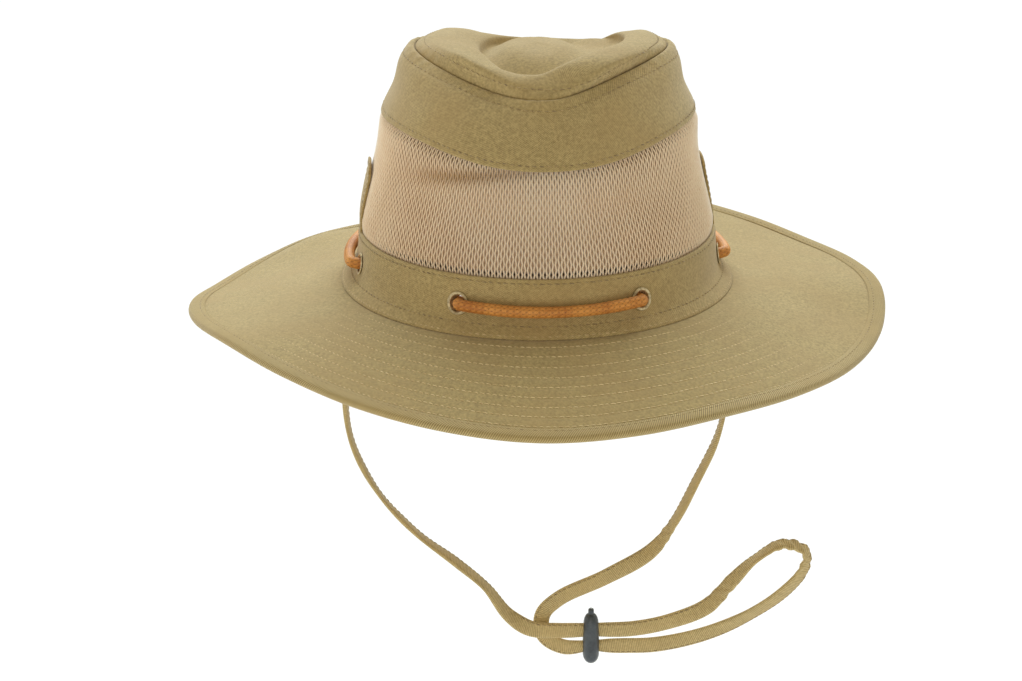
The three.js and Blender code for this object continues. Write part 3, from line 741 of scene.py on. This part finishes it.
def cutAway(mesh, cutters):
    # the mesh less the cutters, which are removed
    piece = addObject("uncut", mesh)
    tools = [addObject("cutter", cutter) for cutter in cutters]
    for tool in tools:
        cut = piece.modifiers.new("cut", "BOOLEAN")
        cut.operation, cut.solver, cut.object = "DIFFERENCE", "EXACT", tool
    bpy.context.view_layer.update()
    done = bpy.data.meshes.new_from_object(piece.evaluated_get(bpy.context.evaluated_depsgraph_get()))
    done.name = mesh.name + "Cut"
    for thing in tools + [piece]:
        bpy.data.objects.remove(thing)
    return smoothed(done)


def makeBand():
    thick = walls["band"]
    section = [
        ("hem", 0.0, -0.5, 0, 1), ("hem", 0.25, -0.1, 0, 1), ("hem", 0.8, 0.1, 0.5, 6), ("flare", 0, 0, 1, 9),
        ("waist", 0, 0, 1, 10), ("bandTop", -0.8, 0, 1, 1), ("bandTop", -0.25, -0.25, 0.3, 1),
        ("bandTop", 0, -thick / 2, 0, 1), ("bandTop", -0.25, 0.25 - thick, 0, 1),
        ("bandTop", -0.8, -thick, 0, 5), ("waist", 0, -thick, 0, 4), ("flare", 0, -thick, 0, 4),
        ("hem", 1.9, -thick, 0, 1), ("hem", 0.5, -1.2, 0, 1),
    ]
    mesh = clothWall("band", crown, section, bandLook, bandRelief)[0]
    deep, hole = eyelets["holeDeep"], eyelets["hole"]
    outline = [(0, -deep), (hole, -deep), (hole, deep), (0, deep)]
    holes = [sealed(gridMesh("hole", lathe(outline, eyelets["holeSides"], middle, out)))
             for middle, out in zip(*eyeletFrames()[1:])]
    addPiece(cutAway(mesh, holes), roundTwill, ["crown_band"])


brassLook = {"bright": (222, 206, 166), "dull": (134, 116, 84), "roughness": 0.3, "metal": 0.6}


def brassMaterial(look):
    # old brass: bright where it is rubbed, brown and duller in patches
    made = Surface("oldBrass", look["roughness"])
    spots = made.noise(1.8, 4)
    made.feed({"Metallic": look["metal"], "Roughness": made.between(spots, 0.3, 0.7, 0.55, 0.3)})
    base = made.mix(made.between(spots, 0.25, 0.6), look["dull"], look["bright"])
    return made.finish(base, spots, 0.25, 0.1)


def makeEyelets():
    # a rolled ring in front, its barrel through the cloth, and a flat washer behind
    brass = brassMaterial(brassLook)
    bore, flange, plate = eyelets["bore"], eyelets["flange"], eyelets["plate"]
    face, back = eyelets["gap"] - 0.1, -walls["band"] - eyelets["gap"]
    mid, roll = (bore + flange) / 2, (flange - bore) / 2
    rolled = [(mid - roll * math.cos(a), face + 0.95 * plate * math.sin(a) ** 0.8)
              for a in np.linspace(0, math.pi, eyelets["rollSteps"])]
    washer = [(bore + 0.45, face), (bore + 0.45, back), (flange, back), (flange - 0.15, back - 0.35),
              (bore, back - plate), (eyelets["throat"], back - 0.3), (eyelets["throat"], back + 0.4)]
    profile = np.array(rolled + washer)[::-1]
    for k, (middle, out) in enumerate(zip(*eyeletFrames()[1:])):
        ring = lathe(profile, eyelets["sides"], middle, out)
        mesh = sealed(gridMesh(f"eyeletRing_{k + 1}", ring, closeRows=True))
        addPiece(mesh, brass, [f"eyelet_{k + 1}"])


makeBand()
makeEyelets()
print("band and eyelets made")


# Knitted panel: a soft backing, and over it the yarns of the knit
# backing and hole are painted shade: the ground seen between the yarns, and the holes by the band and under the
# side's hem; fold is painted shade in the fold
knitLook = {"turns": 436, "girth": 560, "thick": 0.7, "columns": 384, "rise": 4.6, "around": 574, "yarn": 0.47,
            "flat": 0.8, "tucked": (-2.6, 3.0), "light": (255, 236, 205), "dark": (242, 214, 178),
            "backing": (200, 166, 130), "hole": (62, 44, 28), "fold": (192, 150, 92), "sheen": 0.8}
foldShape = {"aside": -0.47, "wide": 0.34, "up": 44, "climb": 11, "tall": 3.4, "deep": 1.9}


def knitFold(turn, distance):
    # the soft fold on the left of the front, which climbs a little to the right; its strength also paints shade
    # into the knit's colour
    aside = turnFrom(turn, front + foldShape["aside"])
    up = crown.past(turn, distance, "bandTop") - foldShape["climb"] * np.clip(aside, -0.6, 0.6)
    return ridge(aside, 0, foldShape["wide"]) * ridge(up, foldShape["up"], foldShape["tall"])


def knitSway(turn, distance):
    return softSway(turn, distance) - foldShape["deep"] * knitFold(turn, distance)


def knitMaterial(look):
    # fuzzy knitted yarn, with painted shade, darker and browner, in the fold
    made = Surface("knitYarn", 0.9, look["sheen"])
    grain, patches = made.noise(0.7), made.noise(26)
    share = made.between(made.add([(grain, 0.6), (patches, 0.4)]), 0.36, 0.64)
    yarn = made.mix(share, look["dark"], look["light"])
    folded = made.mix(made.between(made.attribute("fold"), 0, 1, 0, 0.8), yarn, look["fold"])
    return made.finish(folded, grain, 0.5, 0.12)


def backingMaterial(look):
    # the knit's ground, darker than the yarn: painted shade in the slots between the yarns. It has painted
    # shade in the fold too, and is darkest, with painted shade, along the open row of loops by the crown band
    # and just under the crown side's hem
    made = Surface("knitGround", 0.95, 0.1)
    grain = made.noise(0.9, 3)
    ground = made.mix(made.between(grain, 0.3, 0.7, 0, 0.4), look["backing"], look["dark"])
    folded = made.mix(made.between(made.attribute("fold"), 0, 1, 0, 0.8), ground, look["fold"])
    shaded = made.mix(made.attribute("holeAndHemShade"), folded, look["hole"])
    return made.finish(shaded, grain, 0.5, 0.2)


def makePanel():
    thick, face = knitLook["thick"], -0.75
    lower, upper = -walls["band"] - walls["gap"], -walls["twill"] - walls["gap"]
    section = [
        ("bandTop", -6, lower + face, 0, 2), ("bandTop", 0, lower + face, 0.3, 5),
        ("bandTop", 6, face - 0.9, 1, 6), ("meshLow", 0, face - 0.4, 1, 12), ("meshHigh", 0, face, 1, 8),
        ("meshTop", -4, face - 0.3, 1, 4),
        ("meshTop", 0, upper + face, 0.4, 3), ("meshTop", 6, upper + face, 0, 1),
        ("meshTop", 6, upper + face - thick, 0, 2), ("meshTop", 0, upper + face - thick, 0.4, 3),
        ("meshTop", -4, face - 0.3 - thick, 1, 6), ("meshHigh", 0, face - thick, 1, 8),
        ("meshLow", 0, face - 0.4 - thick, 1, 6), ("bandTop", 6, face - 0.9 - thick, 1, 2),
        ("bandTop", 0, lower + face - thick, 0.3, 2), ("bandTop", -6, lower + face - thick, 0, 1),
    ]
    mesh, turn, distance = clothWall("knitGround", crown, section, knitLook, knitSway)
    low = crown.past(turn, distance, "bandTop")
    high = -crown.past(turn, distance, "meshTop")
    # painted shade: the holes of the open row by the band, and the cloth just under the side's hem
    addAttribute(mesh, "holeAndHemShade", ridge(low, 2.0, 1.1, 4) + 0.3 * ridge(np.maximum(high, 0), 0, 6))
    # the fold's strength, which the ground's material turns into painted shade
    addAttribute(mesh, "fold", knitFold(turn, distance))
    addPiece(mesh, backingMaterial(knitLook), ["mesh_panel"])


def knitLift(turn, distance):
    # how far the yarns' middles lie off the crown's face: tucked under the band and under the upper hem
    tuckLow = np.clip(crown.past(turn, distance, "bandTop") / 6, 0, 1)
    tuckHigh = np.clip(-crown.past(turn, distance, "meshTop") / 4, 0, 1)
    return -0.45 - 1.5 * (1 - tuckLow) ** 1.5 - 1.3 * (1 - tuckHigh)


def makeYarns():
    # every column is a thread that waves from side to side, d = A cos(2 pi distance / rise), and touches its
    # neighbours in turn; swept with three sides, flat against the panel
    count, rise, yarn = knitLook["columns"], knitLook["rise"], knitLook["yarn"]
    middle = evenTurns(count)
    low, high = (crown.level(middle, *end) for end in zip(("bandTop", "meshTop"), knitLook["tucked"]))
    quarters = np.arange(int(np.ceil((high - low).max() / rise * 4)) + 1)[:, None]
    distance = np.minimum(low + rise / 4 * quarters, high + 0.001 * quarters)      # they all end at the top
    wave = np.array([1, 0, -1, 0])[quarters % 4] * np.where(np.arange(count) % 2, -1, 1)
    turn = middle + wave * fullTurn / count * (0.5 - yarn * count / knitLook["around"])
    made = []
    for here, past in zip(turn[:, None], distance[:, None]):
        points, out = crown.points(here[0], past, knitLift(here, past) + knitSway(here, past))
        made.append((points[0], out[0], knitFold(here, past)[0]))
    centre, out, folded = (np.stack(part) for part in zip(*made))
    side = unit(np.cross(unit(np.gradient(centre, axis=0)), out))
    corner = np.array([(1, -0.3), (0, 0.9), (-1, -0.3)]) * (yarn, yarn * knitLook["flat"])
    ring = centre[:, :, None] + side[:, :, None] * corner[:, :1] + out[:, :, None] * corner[:, 1:]
    mesh = tubeMesh("knitYarns", ring.transpose(1, 0, 2, 3), -1)
    # the fold's strength, which the yarn's material turns into painted shade
    addAttribute(mesh, "fold", np.repeat(folded.T, len(corner)))
    addPiece(mesh, knitMaterial(knitLook))


makePanel()
makeYarns()
print("knitted panel made")


# Crown side and tip: twill, gathered a little into the seam between them
sideLook = {"turns": 560, "girth": 500}
tipLook = {"turns": 480, "girth": 460}


def gathers(turn, away, wide, count):
    # small tucks that fade with the distance from a seam
    tucks = np.sin(count * turn + 2 * np.sin(5 * turn)) * (0.6 + 0.4 * np.sin(11 * turn + 1))
    return ridge(away, 0, wide) * tucks


def sideRelief(turn, distance):
    # two channels, tucks at both seams, and an edge that stands a little over the tip, most at the left and
    # right ends
    low = crown.past(turn, distance, "meshTop")
    high = -crown.past(turn, distance, "seam")
    channels = 0.2 * ridge(low, 2.7, 1.0) + 0.3 * ridge(high, 6, 1.2)
    tucks = 0.2 * gathers(turn, high, 5, 61) + 0.14 * gathers(turn, low, 4, 43)
    edge = 0.55 * ridge(high, 1.2, 2.2) + 0.9 * np.cos(turn) ** 8 * ridge(high, 3, 3)
    return 0.9 * softSway(turn, distance) + tucks + edge - channels


def makeSide():
    thick = walls["twill"]
    section = [
        ("meshTop", 0.15, -0.45, 0, 1), ("meshTop", 0.4, -0.1, 0.4, 1), ("meshTop", 1.0, 0.05, 0.8, 7),
        ("meshTop", 6, 0, 1, 9), ("sideMid", 0, 0, 1, 9), ("sideHigh", 0, 0, 1, 7), ("seam", -1.0, 0.15, 1, 1),
        ("seam", -0.15, -0.15, 0.8, 1), ("seam", 0, -thick, 0.5, 2), ("sideHigh", 0, -thick, 0.8, 7),
        ("sideMid", 0, -thick, 1, 7), ("meshTop", 6, -thick, 0.8, 3), ("meshTop", 0.5, -thick, 0, 1),
    ]
    mesh = clothWall("crownSide", crown, section, sideLook, sideRelief)[0]
    addPiece(mesh, roundTwill, ["crown_side"])


def tipRelief(turn, distance):
    # two channels, tucks at the seam, a lobe behind each end, and nothing at the pole
    low = crown.past(turn, distance, "seam")
    fade = np.clip(1 - low / (low - crown.past(turn, distance, "top")), 0, 1)
    channels = 0.3 * ridge(low, 5.6, 1.2) + 0.45 * ridge(low, 0, 2.2)
    lobes = 1.3 * behindEnds(turn) * ridge(low, 7, 4.5)
    return fade * 1.2 * softSway(turn, distance) + 0.16 * gathers(turn, low, 5, 53) + lobes - channels


def makeTip():
    thick = walls["twill"]
    section = [
        ("seam", 0.1, -1.7, 0.5, 1), ("seam", 0.15, -0.15, 0.8, 1), ("seam", 0.9, 0.15, 1, 4),
        ("shoulder", 0, 0, 1, 6), ("shoulder", 7, 0, 1, 8), ("crest", 0, 0, 1, 13), ("slope", 0, 0, 1, 11),
        ("valley", 0, 0, 1, 12), ("mound", 0, 0, 1, 10), ("top", 0, 0, 0, 1), ("top", 0, -thick, 0, 4),
        ("mound", 0, -thick, 1, 4),
        ("valley", 0, -thick, 1, 4), ("slope", 0, -thick, 1, 4), ("crest", 0, -thick, 1, 5),
        ("shoulder", 7, -thick, 1, 3), ("shoulder", 0, -1.7 - thick, 0.6, 2), ("seam", -4, -1.7 - thick, 0, 1),
        ("seam", -4, -1.7, 0, 1),
    ]
    mesh, turn, distance = clothWall("crownTip", crown, section, tipLook, tipRelief)
    # its weave is laid out flat from the pole, so that it isn't stretched on the slopes
    out = -crown.past(turn, distance, "top")
    flat = joined(out * np.cos(turn), out * np.sin(turn), 0) * mm
    addAttribute(mesh, "clothPlace", flat, "FLOAT_VECTOR", "vector")
    addPiece(sealed(mesh), tipTwill, ["crown_tip"])


def crownStitches():
    low, middle, high = bandLook["channels"]
    rows = [("hemStitches", hemThread, [("hem", low, bandRelief)]),
            ("bandStitches", darkThread, [("hem", middle, bandRelief), ("bandTop", high, bandRelief)]),
            ("crownStitches", darkThread, [("meshTop", 2.7, sideRelief), ("seam", -6, sideRelief),
                                           ("seam", 5.6, tipRelief)])]
    for name, thread, places in rows:
        lines = [stitchLine(crown, level, along, 0.0, relief) for level, along, relief in places]
        addPiece(stitchMesh(name, lines), thread)


makeSide()
makeTip()
crownStitches()
print("crown side and tip made")


# Hatband cord: braided, laced through the eyelets
cordLook = {"radius": 2.6, "strands": 8, "pitch": 2.8, "around": 36, "samples": 12000, "step": 0.5,
            "high": 0.36, "sag": 1.4,
            "bend": [(0, 0), (1.0, 2.4), (2.7, 4.5), (6, 4.9)], "rest": 4.5, "longRests": [0.28, 0.5, 0.72],
            "shortRests": [0.5], "meeting": [0.495, 0.505],
            # gap is painted shade for the hollows between the strands
            "light": (232, 164, 80), "dark": (184, 112, 46), "gap": (122, 66, 24)}


def cordRun(turns, start, end, side, rests):
    # from one eyelet to the next, outside the band or inside it, leaving out the last eyelet
    radius = np.hypot(*eyeletFrames()[1][start][:2])
    span = (turns[end] - turns[start]) % fullTurn
    bend = [(reach / radius / span, off) for reach, off in cordLook["bend"]]
    back = [(1 - share, off) for share, off in bend[:0:-1]]
    share, off = np.array(bend + [(share, cordLook["rest"]) for share in rests] + back).T
    sag = cordLook["sag"] * 4 * share * (1 - share) if side > 0 else 0 * share
    turn = turns[start] + share * span
    distance = crown.level(turn, "waist", eyelets["along"]) - sag
    points, _ = crown.points(turn, distance[None], -walls["band"] / 2 + side * off)
    return points[0]


def cordLine():
    # the whole lacing, from the back's inside and round to it again
    turns = eyeletFrames()[0]
    long, short = cordLook["longRests"], cordLook["shortRests"]
    runs = [(6, 7, 1, long), (7, 0, -1, long), (0, 1, 1, long), (1, 2, -1, long), (2, 3, 1, long),
            (3, 4, -1, short), (4, 5, 1, long)]
    meeting = cordRun(turns, 5, 6, -1, cordLook["meeting"])
    half = (len(meeting) + 1) // 2
    return np.concatenate([meeting[half:]] + [cordRun(turns, *run) for run in runs] + [meeting[:half]])


def braid(angle, length):
    # strands wind both ways, a = round + along and b = round - along, and pass over and under each other by
    # turns: each has a round back and lies 0.5 sin(pi of the other) high; gives the height, and 1 where the
    # first family is on top
    turned, wound = angle / fullTurn * cordLook["strands"], length / cordLook["pitch"]
    a, b = turned + wound, turned - wound
    backA, backB = (0.8 * np.sqrt(1 - 0.96 * (2 * (part % 1) - 1) ** 2) for part in (a, b))
    highA = backA + 0.5 * np.sin(math.pi * b) * np.where(np.floor(a) % 2, -1, 1)
    highB = backB - 0.5 * np.sin(math.pi * a) * np.where(np.floor(b) % 2, -1, 1)
    return np.maximum(highA, highB), (highA > highB).astype(float)


def makeCord():
    line, reach, _ = lineThrough(cordLine(), cordLook["samples"])
    even = np.linspace(0, reach[-1], int(reach[-1] / cordLook["step"]))
    centre = pointsAt(even, reach, line)
    along = unit(np.gradient(centre, axis=0))
    side = unit(np.cross(along, (0, 0, 1)))
    up = np.cross(side, along)
    angle = evenTurns(cordLook["around"])
    high, family = braid(angle + 0.25 * np.sin(even / 37)[:, None], even[:, None])
    radius = cordLook["radius"] * (1 + 0.025 * np.sin(even / 9))[:, None] + cordLook["high"] * (high - 1)
    points = (centre[:, None] + side[:, None] * (radius * np.cos(angle))[..., None]
              + up[:, None] * (radius * np.sin(angle))[..., None])
    mesh = gridMesh("hatbandCord", capped(points, centre))
    for name, values in (("braidHigh", high), ("braidWay", family)):
        addAttribute(mesh, name, np.pad(values, [(1, 1), (0, 0)], mode="edge"))
    print("hatband cord", round(reach[-1]), "mm long")
    addPiece(sealed(mesh), cordMaterial(cordLook), ["hatband_cord"])


def cordMaterial(look):
    # soft yarn in the strands, with painted shade, a darker brown, down between the strands
    made = Surface("braidedCord", 0.6)
    fibres, patches = made.noise(0.45), made.noise(14)
    share = made.add([(fibres, 0.45), (patches, 0.55), (made.attribute("braidWay"), 0.1)])
    strand = made.mix(made.between(share, 0.38, 0.68), look["dark"], look["light"])
    # painted shade where a strand sinks below its neighbours
    strandGapShade = made.between(made.attribute("braidHigh"), 0.35, 0.95, 1, 0)
    return made.finish(made.mix(strandGapShade, strand, look["gap"]), fibres, 0.5, 0.1)


makeCord()


# Side tabs: doubled twill standing up from the band's top edge, waved and a little curled at the tip
tabLook = {"width": 24.0, "thick": 1.2, "radius": 102.4, "across": 32, "rows": 34, "shoulder": 22.0,
           "round": 0.45, "top": 34.0, "stitchIn": 2.2, "stitchDown": 2.6, "stitchSteps": 60,
           "up": [-0.2, 0.4, 4, 7, 11, 15, 19.5, 22, 26, 29, 31.5, 33.2, 34],
           "lift": [0.1, 0.2, 0.5, 1.0, 1.35, 1.5, 1.55, 1.55, 1.5, 1.5, 1.65, 2.0, 2.3]}


def tabPoints(turn, share, across, up, off):
    # across the tab, up from the band, and off the middle of its cloth; it keeps the curve of the crown with a
    # slow wave of its own, and above the shoulder its corners fall off as 1 - sqrt(1 - x^2)
    lift = share * np.interp(up, tabLook["up"], tabLook["lift"])
    wave = 0.3 * share * np.sin(across / 5.5 + up / 9) * np.clip(up / 12, 0, 1)
    lost = tabLook["round"] * (1 - np.sqrt(np.maximum(1 - (2 * across / tabLook["width"]) ** 2, 0)))
    up = up - np.maximum(up - tabLook["shoulder"], 0) * lost
    rows = zip(turn + across / tabLook["radius"], up, lift - tabLook["thick"] / 2 + wave + off)
    made = [crown.points(where, crown.level(where, "bandTop", high)[None], out) for where, high, out in rows]
    return [np.concatenate(part) for part in zip(*made)]


def makeTab(name, node, turn, share):
    # the section across is a flat loop with round edges; its top end closes on a line. Gives the line of its
    # stitches, up one side, across and down the other
    half, thick, top = tabLook["width"] / 2, tabLook["thick"] / 2, tabLook["top"]
    angle = evenTurns(2 * tabLook["across"])
    ring = -squared(np.cos(angle), 0.7) * half
    off = -np.sign(np.sin(angle)) * np.minimum(np.abs(np.sin(angle)) * 6, 1) ** 0.5 * thick
    up = np.concatenate([[-0.2, -0.2], np.linspace(0.2, top - 0.5, tabLook["rows"]), [top - 0.15, top]])
    closed = np.concatenate([[0], np.ones(len(up) - 3), [0.7, 0]])
    across = np.broadcast_to(ring, (len(up), ring.size))
    points, _ = tabPoints(turn, share, across, up[:, None] + 0 * across, off * closed[:, None])
    uv = joined(np.append(ring, ring[0])[None], np.append(up, top + 1)[:, None])
    addPiece(sealed(gridMesh(name, points, uv)), roundTwill, [node])
    edge, high, steps = half - tabLook["stitchIn"], top - tabLook["stitchDown"], tabLook["stitchSteps"]
    side, level = np.full(steps, edge), np.full(steps, high)
    rising = np.linspace(1, high, steps)
    across = np.concatenate([side, np.linspace(edge, -edge, steps), -side])[:, None]
    up = np.concatenate([rising, level, rising[::-1]])[:, None]
    line, out = tabPoints(turn, share, across, up, np.full_like(up, thick))
    return line[:, 0], out[:, 0]


tabLines = [makeTab("sideTabLeft", "side_tab_left", math.pi + 0.05, 1.0),
            makeTab("sideTabRight", "side_tab_right", 0.09, 0.6)]
addPiece(stitchMesh("tabStitches", tabLines, pitch=2.9, high=0.07), darkThread)
print("side tabs made")


# Strap stitches, on both faces, near one edge
def makeStrapStitches():
    a = np.array([strap["width"] / 2 - strap["stitchIn"]])
    b = np.array([strap["thick"] * strap["stitchLevel"]])
    lines = [(strapSurface(stations, a, side * b)[:, 0], side * stations[3]) for side in (1, -1)]
    mesh = stitchMesh("strapStitches", lines, pitch=strap["stitchPitch"], high=strap["stitchHigh"])
    addPiece(mesh, darkThread)


makeStrapStitches()


# Slide: a moulded capsule with a small knob below, and a slot for the two strands
slideLook = {"profile": [(0, -13.3), (1.3, -13.1), (2.4, -12.5), (3.3, -11.4), (3.9, -9.9), (4.2, -7.5),
                         (4.3, -4), (4.25, 0), (4.1, 4), (3.95, 7), (3.7, 9.3), (3.2, 11.1), (2.5, 12.3),
                         (1.75, 12.9), (1.5, 13.2), (1.45, 13.6), (1.45, 14.9), (1.25, 15.5), (0.8, 15.85),
                         (0, 16)],
             "light": (80, 88, 94), "dark": (56, 62, 68), "roughness": 0.34, "slotLength": 20.0}


def slideMaterial(look):
    # dark moulded plastic, faintly clouded and scuffed
    made = Surface("slidePlastic", look["roughness"])
    cloud, scuffs = made.noise(7, 3), made.noise(0.8, 4)
    made.feed({"Roughness": made.between(scuffs, 0.4, 0.7, 0.28, 0.5)})
    share = made.between(made.add([(cloud, 0.7), (scuffs, 0.3)]), 0.35, 0.65)
    return made.finish(made.mix(share, look["dark"], look["light"]), scuffs, 0.2, 0.05)


def makeSlide():
    outline = lineThrough(np.array(slideLook["profile"], float), slide["rows"])[0]
    outline = np.maximum(outline, (0, -np.inf))
    shell = lathe(outline, slide["sides"], slide["centre"], deeper=slide["deeper"])
    body = sealed(gridMesh("slideShell", shell))
    # the slot is a rounded rectangle carried through from side to side
    angle = evenTurns(slide["slotSides"])
    y = (strap["thick"] / 2 + slide["play"]) * squared(np.cos(angle), 0.5)
    z = ((slide["strands"] + strap["width"]) / 2 + slide["play"]) * squared(np.sin(angle), 0.35)
    x = np.array([-1, -1, 1, 1])[:, None] * slideLook["slotLength"] / 2
    inside = np.array([0, 1, 1, 0])[:, None]
    slot = sealed(gridMesh("slot", joined(x, y * inside, z * inside) + np.array(slide["centre"])))
    mesh = cutAway(body, [slot])
    mesh.name = "strapSlide"
    return addPiece(mesh, slideMaterial(slideLook), ["strap_slide"])


strapSlide = makeSlide()
print("strap slide made")


# Floor and studio light: most of it comes from above and behind, so that the front is soft and warm
studio = {"floor": -0.33, "half": 6.0, "paper": (250, 250, 250), "glow": (0.02, 0.05, 0.13),
          "world": (0.36, 0.32, 0.225)}
lamps = [      # name, kind, power, place, size (degrees for a sun, metres for the others), tint
    ("back", "SUN", 3.25, (0.1, 1.48629, 1.338261), 60, (0.96, 1, 0.97)),
    ("left", "AREA", 3.8, (-1.6, 0.2, 0.35), 1.0, (1, 1, 1)),
    ("right", "AREA", 1.8, (1.6, 0.2, 0.35), 1.0, (1, 1, 1)),
    ("frontal", "AREA", 6.6, (-0.4, -1.95, 0.2), 1.2, (1, 0.92, 0.88)),
]


def addStudio():
    half = studio["half"]
    corners = [(-half, -half), (half, -half), (half, half), (-half, half)]
    mesh = bpy.data.meshes.new("floor")
    mesh.from_pydata([(x, y, studio["floor"]) for x, y in corners], [], [(0, 1, 2, 3)])
    paper = Surface("paper", 0.95)
    # the paper also glows faintly blue: painted light, which falls back on the hat
    paper.feed({"Emission Color": (*studio["glow"], 1), "Emission Strength": 1.0})
    mesh.materials.append(paper.finish(colour(*studio["paper"])))
    addObject("floor", mesh)
    world = bpy.data.worlds.new("studio")
    world.use_nodes = True
    background = world.node_tree.nodes["Background"].inputs
    background["Color"].default_value = (*studio["world"], 1)
    background["Strength"].default_value = 1.0
    bpy.context.scene.world = world
    for name, kind, power, place, size, tint in lamps:
        data = bpy.data.lights.new(name, kind)
        data.energy, data.color = power, tint
        if kind == "SUN":
            data.angle = math.radians(size)
        else:
            data.shape, data.size = "DISK", size
        aimAtHat(addObject(name, data), place)
    bpy.context.scene.view_settings.view_transform = "Standard"


addStudio()
print("studio lit")
